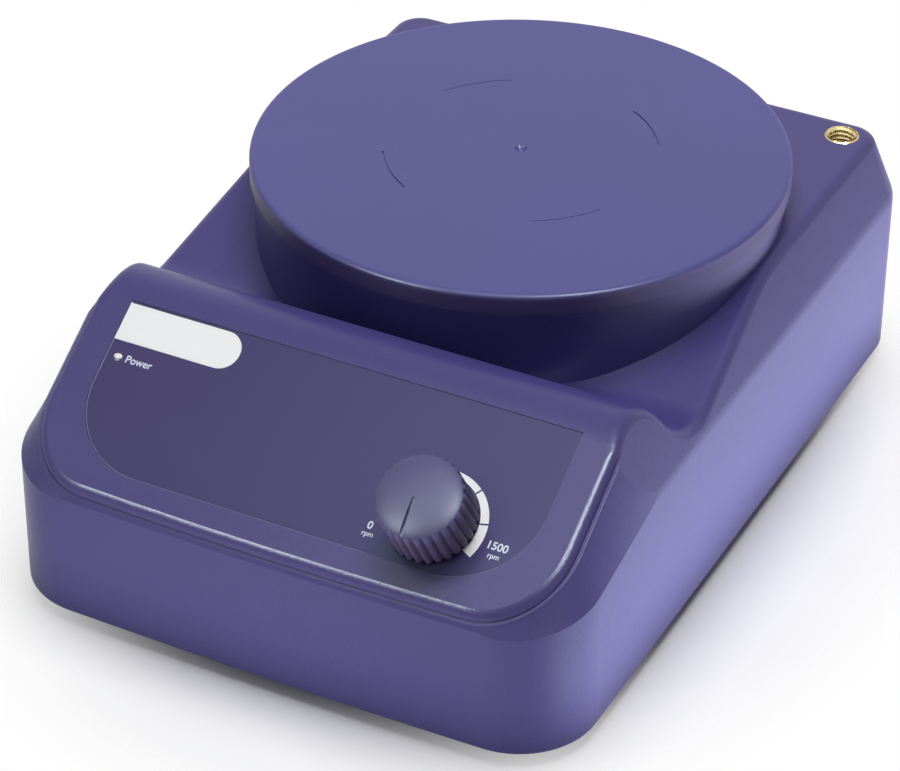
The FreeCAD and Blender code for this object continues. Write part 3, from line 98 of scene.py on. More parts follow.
def put_out(tree, given, made, lightness, roughness, height):
    """Give an effect its outputs: a colour that turns lighter and darker, roughness and relief."""
    step = tree.nodes.new("ShaderNodeHueSaturation")
    feed(tree, given["Colour"], step.inputs["Color"])
    feed(tree, combine(tree, "ADD", lightness, 1), step.inputs["Value"])
    feed(tree, step.outputs["Color"], made["Colour"])
    feed(tree, roughness, made["Roughness"])
    feed(tree, height, made["Height"])


COATED = [("Colour", "NodeSocketColor", (0.5, 0.5, 0.5, 1)), ("Roughness", "NodeSocketFloat", 0.5),
          ("Grain", "NodeSocketFloat", 2000), ("Contrast", "NodeSocketFloat", 0.2)]
SURFACE = [("Colour", "NodeSocketColor"), ("Roughness", "NodeSocketFloat"),
           ("Height", "NodeSocketFloat")]

moulded, given, made = shared_effect("moulded_skin", COATED, SURFACE)
grain = noise(moulded, given["Grain"], detail=2)
speck = swing(moulded, grain, given["Contrast"])
drift = swing(moulded, noise(moulded, scale=16, detail=3), amount=0.12)
put_out(moulded, given, made, lightness=combine(moulded, "ADD", speck, drift),
        roughness=combine(moulded, "ADD", given["Roughness"], drift), height=grain)


def placed(tree, effect, **values):
    """A shared effect placed in a material with its own values."""
    group = tree.nodes.new("ShaderNodeGroup")
    group.node_tree = effect
    for label, value in values.items():
        group.inputs[label].default_value = value
    return group


def finish(name, effect, colour, roughness, grain, contrast, relief, **constants):
    """A material from a shared effect, with its relief in millimetres."""
    material = bpy.data.materials.new(name)
    material.use_nodes = True
    tree = material.node_tree
    shader = tree.nodes["Principled BSDF"]
    surface = placed(tree, effect, Colour=(*colour, 1), Roughness=roughness, Grain=grain,
                     Contrast=contrast)
    bump = tree.nodes.new("ShaderNodeBump")
    feed(tree, relief * MM, bump.inputs["Distance"])
    feed(tree, surface.outputs["Height"], bump.inputs["Height"])
    feed(tree, surface.outputs["Colour"], shader.inputs["Base Color"])
    feed(tree, surface.outputs["Roughness"], shader.inputs["Roughness"])
    feed(tree, bump.outputs["Normal"], shader.inputs["Normal"])
    for label, amount in constants.items():
        shader.inputs[label.replace("_", " ")].default_value = amount
    return material


def wear(material, *names):
    """Give nodes of the frame a material."""
    for name in names:
        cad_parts[name].data.materials[0] = material


base_plastic = finish("base_plastic", moulded, (0.075, 0.07, 0.19), roughness=0.55, grain=1800,
                      contrast=0.3, relief=0.05)
wear(base_plastic, "base_plate")


# Feet.
# Four round pads of soft black rubber, each with a stem that is pulled through a hole in the
# base plate. Their lower edge is chamfered, and dust dulls the surface.

foot_rubber = finish("foot_rubber", moulded, (0.018, 0.018, 0.02), roughness=0.75, grain=900,
                     contrast=0.5, relief=0.06)
wear(foot_rubber, "rubber_feet")


# Screws, washer and nut.
# Zinc-plated steel, cold headed and rolled, with a cross recess in the heads under the case.
# They clamp the base plate, the bracket, the boards, the stirring plate and the potentiometer.

drawn, given, made = shared_effect("drawn_metal", COATED, SURFACE)
streak = noise(drawn, given["Grain"], detail=3, stretch=(1, 1, 0.06))
shine = swing(drawn, streak, given["Contrast"])
stain = swing(drawn, noise(drawn, scale=300, detail=2), amount=0.25)
put_out(drawn, given, made, lightness=combine(drawn, "ADD", shine, stain),
        roughness=combine(drawn, "SUBTRACT", given["Roughness"], stain), height=streak)

screw_steel = finish("screw_steel", drawn, (0.55, 0.56, 0.58), roughness=0.32, grain=2500,
                     contrast=0.3, relief=0.01, Metallic=1)
wear(screw_steel, "plate_screws", "bracket_screws", "motor_screws", "board_screws",
     "carrier_set_screw", "potentiometer_washer", "potentiometer_nut")


def shift(x, y, z):
    """A move in millimetres."""
    return Matrix.Translation((x * MM, y * MM, z * MM))


def turned(points, steps):
    """A turned solid about Z from radius and height pairs in millimetres."""
    bm = bmesh.new()
    outline = [bm.verts.new((radius * MM, 0, height * MM)) for radius, height in points]
    for start, end in zip(outline, outline[1:]):
        bm.edges.new((start, end))
    bmesh.ops.spin(bm, geom=bm.verts[:] + bm.edges[:], cent=(0, 0, 0), axis=(0, 0, 1),
                   angle=math.tau, steps=steps, use_merge=True)
    bmesh.ops.remove_doubles(bm, verts=bm.verts, dist=1e-7)
    return bm


def block(bm, place, width, depth, height):
    """A rectangular block about the middle of a place, in millimetres."""
    sides = Matrix.Diagonal((width * MM, depth * MM, height * MM, 1))
    bmesh.ops.create_cube(bm, size=1, matrix=place @ sides)


def join(bm, other):
    """Add a mesh under construction to another one."""
    mesh = bpy.data.meshes.new("joined")
    other.to_mesh(mesh)
    other.free()
    bm.from_mesh(mesh)
    bpy.data.meshes.remove(mesh)


def make_piece(bm, name, material, body, sharp=35):
    """An object from a mesh under construction, riding on a body of the frame."""
    bmesh.ops.recalc_face_normals(bm, faces=bm.faces)
    mesh = bpy.data.meshes.new(name)
    bm.to_mesh(mesh)
    bm.free()
    mesh.materials.append(material)
    mesh.shade_smooth()
    mesh.set_sharp_from_angle(angle=math.radians(sharp))
    thing = bpy.data.objects.new(name, mesh)
    bpy.context.collection.objects.link(thing)
    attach(thing, body)
    return thing


def carve(piece, cutter, sharp=35):
    """Cut a mesh under construction out of a piece."""
    bmesh.ops.recalc_face_normals(cutter, faces=cutter.faces)
    mesh = bpy.data.meshes.new("cutter")
    cutter.to_mesh(mesh)
    cutter.free()
    tool = bpy.data.objects.new("cutter", mesh)
    bpy.context.collection.objects.link(tool)
    cutting = piece.modifiers.new("cutting", "BOOLEAN")
    cutting.operation = "DIFFERENCE"
    cutting.solver = "EXACT"
    cutting.object = tool
    result = piece.evaluated_get(bpy.context.evaluated_depsgraph_get())
    carved = bpy.data.meshes.new_from_object(result)
    piece.modifiers.clear()
    bpy.data.objects.remove(tool)
    carved.set_sharp_from_angle(angle=math.radians(sharp))
    piece.data = carved


screw_outline = [(0, 3.8), (1.5, 3.82), (2.2, 3.95), (2.6, 4.3), (2.75, 4.8), (2.75, 5.9),
                 (2.65, 6), (1.5, 6), (1.5, 21.2), (0.9, 22), (0, 22)]
recess_long, recess_wide, recess_high, recess_middle = 3.1, 0.75, 1.6, 4.2
bm, recesses = bmesh.new(), bmesh.new()
for x in (-66.5, 66.5):
    for y in (-78, 82):
        screw = turned(screw_outline, steps=32)
        screw.transform(shift(x, y, 0))
        join(bm, screw)
        head = shift(x, y, recess_middle)
        block(recesses, head, recess_long, recess_wide, recess_high)
        block(recesses, head, recess_wide, recess_long, recess_high)
case_screws = make_piece(bm, "case_screws", screw_steel, "housing")
carve(case_screws, recesses)
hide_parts("base_screws")


# Driver board and control board.
# Glass-fibre boards with a green solder mask, through which the weave of the glass cloth shows.
# The driver board stands on four posts of the base plate, the control board is behind the panel.

woven, given, made = shared_effect("glass_cloth", COATED, SURFACE)
warp = noise(woven, given["Grain"], detail=1, stretch=(1, 0.1, 1))
weft = noise(woven, given["Grain"], detail=1, stretch=(0.1, 1, 1))
cloth = swing(woven, combine(woven, "MAXIMUM", warp, weft), given["Contrast"])
put_out(woven, given, made, lightness=cloth,
        roughness=combine(woven, "ADD", given["Roughness"], cloth), height=warp)

board_laminate = finish("board_laminate", woven, (0.02, 0.12, 0.05), roughness=0.35, grain=1500,
                        contrast=0.8, relief=0.01)
wear(board_laminate, "driver_board", "control_board")


# Parts on the driver board.
# Transformer with a stacked iron core, two capacitors in printed sleeves, a finned aluminium
# heat sink and a moulded terminal block, all soldered to the board.

stacked, given, made = shared_effect("stacked_sheets", COATED, SURFACE)
sheets = noise(stacked, given["Grain"], detail=1, stretch=(0.02, 0.02, 1))
seam = swing(stacked, sheets, given["Contrast"])
rust = swing(stacked, noise(stacked, scale=120, detail=4), amount=0.3)
put_out(stacked, given, made, lightness=combine(stacked, "ADD", seam, rust),
        roughness=combine(stacked, "ADD", given["Roughness"], rust), height=sheets)

core_iron = finish("core_iron", stacked, (0.16, 0.16, 0.17), roughness=0.5, grain=2200,
                   contrast=1.2, relief=0.05, Metallic=0.8)
capacitor_sleeve = finish("capacitor_sleeve", moulded, (0.015, 0.02, 0.05), roughness=0.3,
                          grain=500, contrast=0.4, relief=0.01)
carrier_aluminium = finish("carrier_aluminium", drawn, (0.72, 0.73, 0.74), roughness=0.35,
                           grain=1800, contrast=0.25, relief=0.01, Metallic=1)
terminal_plastic = finish("terminal_plastic", moulded, (0.03, 0.16, 0.06), roughness=0.45,
                          grain=1500, contrast=0.3, relief=0.03)
wear(core_iron, "transformer")
wear(capacitor_sleeve, "capacitors")
wear(carrier_aluminium, "heat_sink")
wear(terminal_plastic, "terminal_block")


# Motor and its bracket.
# A shaded-pole motor in a painted steel can hangs under a folded bridge of galvanised steel. Its
# ground shaft turns in two ball bearings and carries a disc with two pressed ferrite magnets.

bracket_steel = finish("bracket_steel", drawn, (0.5, 0.51, 0.52), roughness=0.4, grain=600,
                       contrast=0.35, relief=0.02, Metallic=1)
motor_paint = finish("motor_paint", moulded, (0.03, 0.03, 0.032), roughness=0.4, grain=700,
                     contrast=0.35, relief=0.04)
bearing_steel = finish("bearing_steel", drawn, (0.62, 0.62, 0.63), roughness=0.2, grain=3000,
                       contrast=0.2, relief=0.005, Metallic=1)
magnet_ferrite = finish("magnet_ferrite", moulded, (0.035, 0.033, 0.034), roughness=0.6, grain=2600,
                        contrast=0.5, relief=0.03)
wear(bracket_steel, "motor_bracket")
wear(motor_paint, "motor_can", "motor_end_cap")
wear(core_iron, "stator_core", "rotor_core")
wear(bearing_steel, "lower_bearing", "upper_bearing", "motor_shaft")
wear(carrier_aluminium, "magnet_carrier")
wear(magnet_ferrite, "drive_magnets")


# Housing.
# One moulding in blue-violet plastic with the fine grain of a spark-eroded mould: the deck, the
# drum under the plate, the ramp, the console with a thin bead along its ledge, and four walls.

housing_plastic = finish("housing_plastic", moulded, (0.064, 0.05, 0.198), roughness=0.32,
                         grain=1500, contrast=0.22, relief=0.05, Specular_IOR_Level=0.28)
wear(housing_plastic, "upper_housing")


def swept(radius, start, runs):
    """A thin round bar through runs in a plane, in millimetres, that starts towards -Y.

    A straight run is its move in x and y. An arc is its centre's x and y, its angle in degrees
    and its steps.
    """
    bm = bmesh.new()
    on_edge = Matrix.Rotation(math.radians(90), 4, "X")
    bmesh.ops.create_circle(bm, cap_ends=True, segments=10, radius=radius * MM,
                            matrix=shift(*start, 0) @ on_edge)
    end = bm.faces[:] + bm.edges[:] + bm.verts[:]
    for x, y, *arc in runs:
        point = (x * MM, y * MM, 0)
        if arc:
            degrees, steps = arc
            path = {"cent": point, "angle": math.radians(degrees), "steps": steps}
        else:
            path = {"cent": (0, 0, 0), "angle": 0, "steps": 1, "dvec": point}
        end = bmesh.ops.spin(bm, geom=end, axis=(0, 0, 1), **path)["geom_last"]
    return bm


panel_slope = math.radians(32.2)
bead_radius, bead_x, bead_rear = 0.25, 69.75, -65
corner_x, corner_y, corner_sweep = 50.1, -83.88, -70
ledge_rise = 103.1
on_ledge = Matrix.Identity(4)
on_ledge[2][1], on_ledge[2][3] = math.tan(panel_slope), ledge_rise * MM
for name, side in (("ledge_bead_right", 1), ("ledge_bead_left", -1)):
    bm = swept(bead_radius, (bead_x, bead_rear),
               [(0, corner_y - bead_rear), (corner_x, corner_y, corner_sweep, 24)])
    bm.transform(on_ledge @ Matrix.Diagonal((side, 1, 1, 1)))
    make_piece(bm, name, housing_plastic, "housing", sharp=60)


# Rod socket.
# A knurled brass insert with an M8 thread, pressed into a boss of the housing in the rear right
# corner. It is turned from bar, so fine rings show on its rim.

socket_brass = finish("socket_brass", drawn, (0.66, 0.55, 0.29), roughness=0.24, grain=2500,
                      contrast=0.25, relief=0.01, Metallic=1)
socket_x, socket_y = 60.7, 91
bm = turned([(0, 45.7), (4.5, 45.7), (4.5, 65.45), (4.25, 65.7), (4.15, 65.7), (3.95, 65.3),
             (3.95, 48.7), (0, 48.2)], steps=64)
pitch, turns, turn_steps = 1.25, 13, 40
ridge = [(4.05, 49.0), (3.4, 49.45), (3.4, 49.6), (4.05, 50.05)]
thread = bmesh.new()
thread.faces.new([thread.verts.new((radius * MM, 0, height * MM)) for radius, height in ridge])
bmesh.ops.spin(thread, geom=thread.verts[:] + thread.edges[:] + thread.faces[:], cent=(0, 0, 0),
               axis=(0, 0, 1), angle=math.tau * turns, steps=turn_steps * turns,
               dvec=(0, 0, pitch * MM / turn_steps))
join(bm, thread)
bm.transform(shift(socket_x, socket_y, 0))
insert = make_piece(bm, "threaded_insert", socket_brass, "housing")
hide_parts("rod_socket")


# Stirring plate and its gasket.
# A smooth round plate with a low skirt, moulded in the case colour and screwed to the drum from
# below. A rubber ring seals it, and four fine grooves and a small dish mark where a vessel goes.

# A shared effect for the side of a piece: a darker colour there is painted shade, and a higher
# roughness makes the side really duller.
side_shade_effect, given, made = shared_effect(
    "painted_side_shade",
    [("Direction", "NodeSocketVector", (0, 0, 1)), ("Low", "NodeSocketFloat", 0),
     ("High", "NodeSocketFloat", 1), ("Face", "NodeSocketColor", (0.5, 0.5, 0.5, 1)),
     ("Side", "NodeSocketColor", (0.2, 0.2, 0.2, 1)), ("Polish", "NodeSocketFloat", 0.4),
     ("Dullness", "NodeSocketFloat", 0.6)],
    [("Colour", "NodeSocketColor"), ("Roughness", "NodeSocketFloat")])
along = side_shade_effect.nodes.new("ShaderNodeVectorMath")
along.operation = "DOT_PRODUCT"
feed(side_shade_effect, side_shade_effect.nodes.new("ShaderNodeTexCoord").outputs["Object"], along.inputs[0])
feed(side_shade_effect, given["Direction"], along.inputs[1])
rise = side_shade_effect.nodes.new("ShaderNodeMapRange")
feed(side_shade_effect, along.outputs["Value"], rise.inputs["Value"])
feed(side_shade_effect, given["Low"], rise.inputs["From Min"])
feed(side_shade_effect, given["High"], rise.inputs["From Max"])
upper = rise.outputs["Result"]
# Mix the face colour with the darker side colour, which is painted shade.
both = side_shade_effect.nodes.new("ShaderNodeMixRGB")
feed(side_shade_effect, upper, both.inputs["Fac"])
feed(side_shade_effect, given["Side"], both.inputs["Color1"])
feed(side_shade_effect, given["Face"], both.inputs["Color2"])
feed(side_shade_effect, both.outputs["Color"], made["Colour"])
gain = combine(side_shade_effect, "SUBTRACT", given["Polish"], given["Dullness"])
feed(side_shade_effect, combine(side_shade_effect, "MULTIPLY_ADD", upper, gain, given["Dullness"]), made["Roughness"])


def paint_shade_and_dull_side(material, direction, low, high, colour, roughness):
    """Make a piece duller at its side than on its face, and darken the side with painted shade.

    The change lies between two heights along a direction, in millimetres.
    """
    tree = material.node_tree
    surface = next(node for node in tree.nodes if node.type == "GROUP")
    side = placed(tree, side_shade_effect, Direction=direction, Low=low * MM, High=high * MM,
                  Face=surface.inputs["Colour"].default_value, Side=(*colour, 1),
                  Polish=surface.inputs["Roughness"].default_value, Dullness=roughness)
    for label in ("Colour", "Roughness"):
        feed(tree, side.outputs[label], surface.inputs[label])


plate_plastic = finish("plate_plastic", moulded, (0.084, 0.08, 0.266), roughness=0.36, grain=1200,
                       contrast=0.1, relief=0.02, Specular_IOR_Level=0.28)
# Painted shade: the skirt below the top face is darkened towards the colour given here, and it is
# also made rougher.
paint_shade_and_dull_side(plate_plastic, (0, 0, 1), low=76.6, high=78.2, colour=(0.06, 0.043, 0.16),
          roughness=0.38)
gasket_rubber = finish("gasket_rubber", moulded, (0.02, 0.02, 0.022), roughness=0.7, grain=800,
                       contrast=0.4, relief=0.05)
wear(gasket_rubber, "plate_gasket")

plate_y, plate_radius, plate_top, rim_round = 26.6, 67.5, 78.6, 1.2
dish = [(0, 78.58), (0.35, 78.5), (0.6, 78.2), (0.8, 77.95), (1.0, 77.95), (1.3, 78.2),
        (1.6, plate_top)]
flat = [(radius, plate_top) for radius in (8, 30, 40, 60, 65.6)]
rim = [(plate_radius - rim_round * (1 - math.sin(math.radians(angle))),
        plate_top - rim_round * (1 - math.cos(math.radians(angle)))) for angle in range(0, 91, 10)]
skirt = [(plate_radius, 76.8), (plate_radius, 74), (plate_radius, 73.4), (67.3, 73.2), (66.8, 73.2),
         (66.6, 73.4), (66.6, 74.6), (0, 74.6)]
bm = turned(dish + flat + rim + skirt, steps=256)
bm.transform(shift(0, plate_y, 0))
plate = make_piece(bm, "vessel_plate", plate_plastic, "housing")

groove_radius, groove_arc, cutter_top = 34.3, 30, 79
bm = bmesh.new()
for middle, width, depth in ((45, 0.5, 0.3), (135, 0.3, 0.1), (225, 0.5, 0.3), (315, 0.3, 0.1)):
    inner, outer, bottom = groove_radius - width / 2, groove_radius + width / 2, plate_top - depth
    corners = [bm.verts.new((radius * MM, 0, height * MM)) for radius, height in (
        (inner, bottom), (outer, bottom), (outer, cutter_top), (inner, cutter_top))]
    section = bm.faces.new(corners)
    bmesh.ops.rotate(bm, verts=corners,
                     matrix=Matrix.Rotation(math.radians(middle - groove_arc / 2), 3, "Z"))
    bmesh.ops.spin(bm, geom=[section] + corners + section.edges[:], cent=(0, 0, 0),
                   axis=(0, 0, 1), angle=math.radians(groove_arc), steps=20)
bm.transform(shift(0, plate_y, 0))
carve(plate, bm)
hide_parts("stirring_plate")


# Console overlay.
# A thin polyester film with a satin face, printed from behind and stuck into a shallow bed in the
# panel. A white writing field is stuck along its upper edge.

overlay_film = finish("overlay_film", moulded, (0.054, 0.033, 0.125), roughness=0.33, grain=2500,
                      contrast=0.12, relief=0.01, Specular_IOR_Level=0.32,
                      Specular_Tint=(0.6, 0.75, 1, 1))
label_white = finish("label_white", moulded, (0.98, 0.98, 0.98), roughness=0.45, grain=900,
                     contrast=0.02, relief=0.01)
# A painted highlight: the pale colour of the thin bar along the film's edge stands in for the wall
# of the bed catching light.
film_edge_highlight = finish("film_edge_highlight", moulded, (0.2, 0.18, 0.34), roughness=0.4, grain=900,
                   contrast=0.1, relief=0.005)
wear(overlay_film, "panel_overlay")
wear(label_white, "blank_label")

panel = shift(0, -61.8, 66.9) @ Matrix.Rotation(panel_slope, 4, "X")
# A thin round bar along the edge of the film, coloured with a painted highlight.
edge_radius, edge_depth = 0.13, -0.42
film_side, film_top = 59.5, 0.05
round_x, round_up = 38.4, -21.5
nip_x, nip_up = 59.3, -0.15
bm = swept(edge_radius, (film_side, film_top),
           [(0, round_up - film_top), (round_x, round_up, -90, 20),
            (-2 * round_x, 0), (-round_x, round_up, -90, 20),
            (0, nip_up - round_up), (-nip_x, nip_up, -90, 4), (2 * nip_x, 0)])
bm.transform(panel @ shift(0, 0, edge_depth))
make_piece(bm, "overlay_edge", film_edge_highlight, "housing", sharp=60)


# Print on the overlay.
# White and pale-blue screen ink: the word by the lamp, the ends of the speed scale and a scale
# that widens. Each print is a film of ink on the face of the overlay.

ink_white = finish("ink_white", moulded, (0.94, 0.95, 0.95), roughness=0.5, grain=1200,
                   contrast=0.06, relief=0.005)
ink_pale = finish("ink_pale", moulded, (0.75, 0.78, 0.9), roughness=0.5, grain=1200,
                  contrast=0.1, relief=0.005)
film_face, ink_lift, ink_half = -0.3, 0.015, 0.01


def printed(name, words, size, bold, place, ink, body):
    """Words as a film of ink that lies in the XY plane of a place."""
    curve = bpy.data.curves.new(name, "FONT")
    curve.body = words
    curve.size = size * MM
    curve.align_x = "CENTER"
    curve.align_y = "CENTER"
    curve.extrude = ink_half * MM
    curve.offset = bold * MM
    text = bpy.data.objects.new(name + "_text", curve)
    bpy.context.collection.objects.link(text)
    result = text.evaluated_get(bpy.context.evaluated_depsgraph_get())
    mesh = bpy.data.meshes.new_from_object(result)
    bpy.data.objects.remove(text)
    bm = bmesh.new()
    bm.from_mesh(mesh)
    bpy.data.meshes.remove(mesh)
    bm.transform(place)
    make_piece(bm, name, ink, body)


for name, words, size, bold, x, up in (
        ("print_power", "Power", 2.7, 0.04, -50.7, -14.8),
        ("print_zero", "0", 2.7, 0.06, 20.9, -36.0),
        ("print_unit_low", "rpm", 1.8, 0.03, 21.1, -38.1),
        ("print_full", "1500", 2.7, 0.06, 51.4, -32.0),
        ("print_unit_high", "rpm", 1.8, 0.03, 51.4, -34.4)):
    printed(name, words, size, bold, panel @ shift(x, up, film_face + ink_lift), ink_pale,
            "housing")

knob_x, knob_up = 34.6, -30.5
outer, narrow, wide, ink_thick = 13.0, 0.3, 2.6, 0.02
start, sweep, fields, field_gap, field_steps = 173, 200, 5, 2, 12
field_turn = Matrix.Rotation(-math.radians((sweep / fields - field_gap) / field_steps), 3, "Z")
bm = bmesh.new()
for field in range(fields):
    tip = [bm.verts.new((outer * MM, 0, 0)), bm.verts.new(((outer - narrow) * MM, 0, 0))]
    edge = bm.edges.new(tip)
    field_start = math.radians(start - sweep * (field / fields) - field_gap / 2)
    bmesh.ops.rotate(bm, verts=tip, matrix=Matrix.Rotation(field_start, 3, "Z"))
    for step in range(field_steps):
        grown = bmesh.ops.extrude_edge_only(bm, edges=[edge])["geom"]
        tip = [item for item in grown if isinstance(item, bmesh.types.BMVert)]
        edge = next(item for item in grown if isinstance(item, bmesh.types.BMEdge))
        bmesh.ops.rotate(bm, verts=tip, matrix=field_turn)
for vertex in bm.verts:
    if vertex.co.length < (outer - narrow / 2) * MM:
        angle = math.degrees(math.atan2(vertex.co.y, vertex.co.x))
        share = ((start - angle) % 360) / sweep
        inner = outer - narrow - (wide - narrow) * share
        bmesh.ops.scale(bm, verts=[vertex], vec=Vector.Fill(3, inner / (outer - narrow)))
bmesh.ops.solidify(bm, geom=bm.faces[:], thickness=ink_thick * MM)
bm.transform(panel @ shift(knob_x, knob_up, film_face + ink_thick))
make_piece(bm, "print_scale", ink_white, "housing")


# Lamp.
# A dark collar pushed through the panel from behind, with a small oval lens of pale plastic in
# its face. A lamp on the control board lights the lens.

lamp_dark = finish("lamp_dark", moulded, (0.03, 0.024, 0.07), roughness=0.4, grain=900,
                   contrast=0.2, relief=0.01)
lamp_lens = finish("lamp_lens", moulded, (0.94, 0.92, 0.94), roughness=0.3, grain=700,
                   contrast=0.06, relief=0.01)
lamp_place = panel @ shift(-56.4, -14.7, 0)
bm = turned([(0, -0.2), (1.05, -0.2), (1.2, -0.3), (1.2, -3.9), (2.2, -3.9), (2.2, -5.3),
             (2.1, -5.4), (0, -5.4)], steps=40)
bm.transform(lamp_place)
collar = make_piece(bm, "lamp_collar", lamp_dark, "housing")
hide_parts("power_lamp")
lens_oval = 0.7
bm = turned([(0, 0.12), (0.5, 0.09), (0.9, -0.02), (1.1, -0.2), (1.1, -0.25), (0, -0.25)],
            steps=40)
bm.transform(lamp_place @ Matrix.Diagonal((1, lens_oval, 1, 1)))
make_piece(bm, "lamp_dome", lamp_lens, "housing", sharp=60)


# Speed knob and potentiometer.
# A moulded dome over a ribbed skirt, in the case plastic, with a groove that points to the scale.
# It is pressed onto the spindle of a potentiometer, whose bushing is clamped in the panel.

knob_plastic = finish("knob_plastic", moulded, (0.076, 0.066, 0.18), roughness=0.48, grain=1500,
                      contrast=0.12, relief=0.02, Specular_IOR_Level=0.4)
upright = panel.to_3x3() @ Vector((0, 0, 1))
knob_foot = panel.translation.dot(upright) / MM
# Painted shade: the ribbed side below the crown is darkened towards the colour given here, and it
# is also made rougher.
paint_shade_and_dull_side(knob_plastic, upright, low=knob_foot + 9, high=knob_foot + 13,
          colour=(0.045, 0.032, 0.085), roughness=0.6)
spindle_metal = finish("spindle_metal", drawn, (0.6, 0.59, 0.56), roughness=0.3, grain=2500,
                       contrast=0.25, relief=0.01, Metallic=1)
pot_metal = finish("pot_metal", drawn, (0.5, 0.5, 0.5), roughness=0.38, grain=900,
                   contrast=0.3, relief=0.01, Metallic=1)
wear(spindle_metal, "potentiometer_shaft")
wear(pot_metal, "potentiometer_body")

ribs, rib_steps = 28, 8
crown_radius, crown_foot, crown_rise = 10.7, 12, 3
crown = [(crown_radius * math.cos(math.radians(angle)),
          crown_foot + crown_rise * math.sin(math.radians(angle))) for angle in range(0, 90, 6)]
bore = [(0, 12.05), (3.05, 12.05), (3.05, 6), (8, 6), (8, 0.2)]
skirt = [(8.2, 0), (10.6, 0), (10.88, 0.3), (10.86, 2), (10.82, 5), (10.77, 8), (10.73, 10.5)]
bm = turned(bore + skirt + crown + [(0, crown_foot + crown_rise)], steps=ribs * rib_steps)
skirt_inside, skirt_top, skirt_radius = 10.3, 12.75, 10.8
for off_middle, depth in ((0, 0.75), (1, 0.55), (2, 0.15)):
    groove = []
    for vertex in bm.verts:
        part_turn = math.atan2(vertex.co.y, vertex.co.x) / math.tau
        step = round(part_turn * ribs * rib_steps) % rib_steps
        on_skirt = (math.hypot(vertex.co.x, vertex.co.y) > skirt_inside * MM
                    and vertex.co.z < skirt_top * MM)
        if on_skirt and step in (off_middle, rib_steps - off_middle):
            groove.append(vertex)
    shrink = 1 - depth / skirt_radius
    bmesh.ops.scale(bm, verts=groove, vec=(shrink, shrink, 1))
knob_lift = 0.3
knob_place = panel @ shift(knob_x, knob_up, knob_lift)
bm.transform(knob_place)
knob = make_piece(bm, "knob", knob_plastic, "knob", sharp=60)

pointer_wide, pointer_long, pointer_high = 0.9, 10.9, 4
pointer_start, pointer_fall = shift(0, -1, 14.65), Matrix.Rotation(math.radians(11), 4, "X")
bm = bmesh.new()
block(bm, shift(0, -pointer_long / 2, pointer_high / 2), pointer_wide, pointer_long, pointer_high)
bm.transform(knob_place @ pointer_start @ pointer_fall)
carve(knob, bm, sharp=60)
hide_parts("speed_knob")


# Mains inlet, fuse drawer and switch.
# A moulded appliance inlet with three plated pins, a drawer with a glass fuse and a rocker switch
# in a frame. All snap into the recessed rear wall of the housing.

inlet_plastic = finish("inlet_plastic", moulded, (0.02, 0.02, 0.022), roughness=0.42, grain=1600,
                       contrast=0.3, relief=0.03)
pin_metal = finish("pin_metal", drawn, (0.66, 0.62, 0.5), roughness=0.25, grain=2500,
                   contrast=0.2, relief=0.01, Metallic=1)
fuse_glass = finish("fuse_glass", drawn, (0.7, 0.72, 0.72), roughness=0.15, grain=1200,
                    contrast=0.2, relief=0.005)
rocker_plastic = finish("rocker_plastic", moulded, (0.025, 0.025, 0.028), roughness=0.32,
                        grain=1800, contrast=0.25, relief=0.02)
wear(inlet_plastic, "mains_inlet", "fuse_drawer", "switch_frame")
wear(pin_metal, "inlet_pins")
wear(fuse_glass, "fuse")
wear(rocker_plastic, "switch_rocker")

rocker_tilt = math.radians(10)
rocker = shift(20, 97.5, 27.3) @ Matrix.Rotation(rocker_tilt, 4, "X")
facing_back = (Matrix.Rotation(math.radians(180), 4, "Z")
               @ Matrix.Rotation(math.radians(90), 4, "X"))
rocker_thick, rocker_vee = 4.3, 4.29
mark_rise, mark_size, mark_bold = 4.2, 3.6, 0.03
for name, mark, side in (("print_on", "I", 1), ("print_off", "O", -1)):
    half = (shift(0, rocker_thick, 0) @ Matrix.Rotation(math.radians(-side * rocker_vee), 4, "X")
            @ shift(0, ink_lift, side * mark_rise))
    printed(name, mark, mark_size, mark_bold, rocker @ half @ facing_back, ink_white,
            "rocker")


# Studio.
# A white table top that fades into white, lit by soft boxes above, in front and to the right. Low
# strips are the light that the table throws back. The camera stands where the photo was taken.

table_half = 4
bm = bmesh.new()
bmesh.ops.create_grid(bm, x_segments=1, y_segments=1, size=table_half)
table = bpy.data.meshes.new("table_top")
bm.to_mesh(table)
bm.free()
table_white = finish("table_white", moulded, (0.93, 0.93, 0.93), roughness=0.6, grain=40,
                     contrast=0.01, relief=0.01)
fade_x, fade_y, fade_start = 0.13, 0.16, 0.58
tree = table_white.node_tree
oval = tree.nodes.new("ShaderNodeMapping")
feed(tree, (1 / fade_x, 1 / fade_y, 1), oval.inputs["Scale"])
feed(tree, tree.nodes.new("ShaderNodeTexCoord").outputs["Object"], oval.inputs["Vector"])
reach = tree.nodes.new("ShaderNodeVectorMath")
reach.operation = "LENGTH"
feed(tree, oval.outputs["Vector"], reach.inputs[0])
fade = tree.nodes.new("ShaderNodeMapRange")
fade.interpolation_type = "SMOOTHSTEP"
feed(tree, fade_start, fade.inputs["From Min"])
feed(tree, 1, fade.inputs["From Max"])
feed(tree, reach.outputs["Value"], fade.inputs["Value"])
ray = tree.nodes.new("ShaderNodeLightPath").outputs
blend = tree.nodes.new("ShaderNodeMixShader")
clear = tree.nodes.new("ShaderNodeBsdfTransparent")
feed(tree, combine(tree, "MULTIPLY", ray["Is Camera Ray"], fade.outputs["Result"]), blend.inputs[0])
feed(tree, tree.nodes["Principled BSDF"].outputs["BSDF"], blend.inputs[1])
feed(tree, clear.outputs["BSDF"], blend.inputs[2])
feed(tree, blend.outputs["Shader"], tree.nodes["Material Output"].inputs["Surface"])
table.materials.append(table_white)
floor = bpy.data.objects.new("table_top", table)
bpy.context.collection.objects.link(floor)

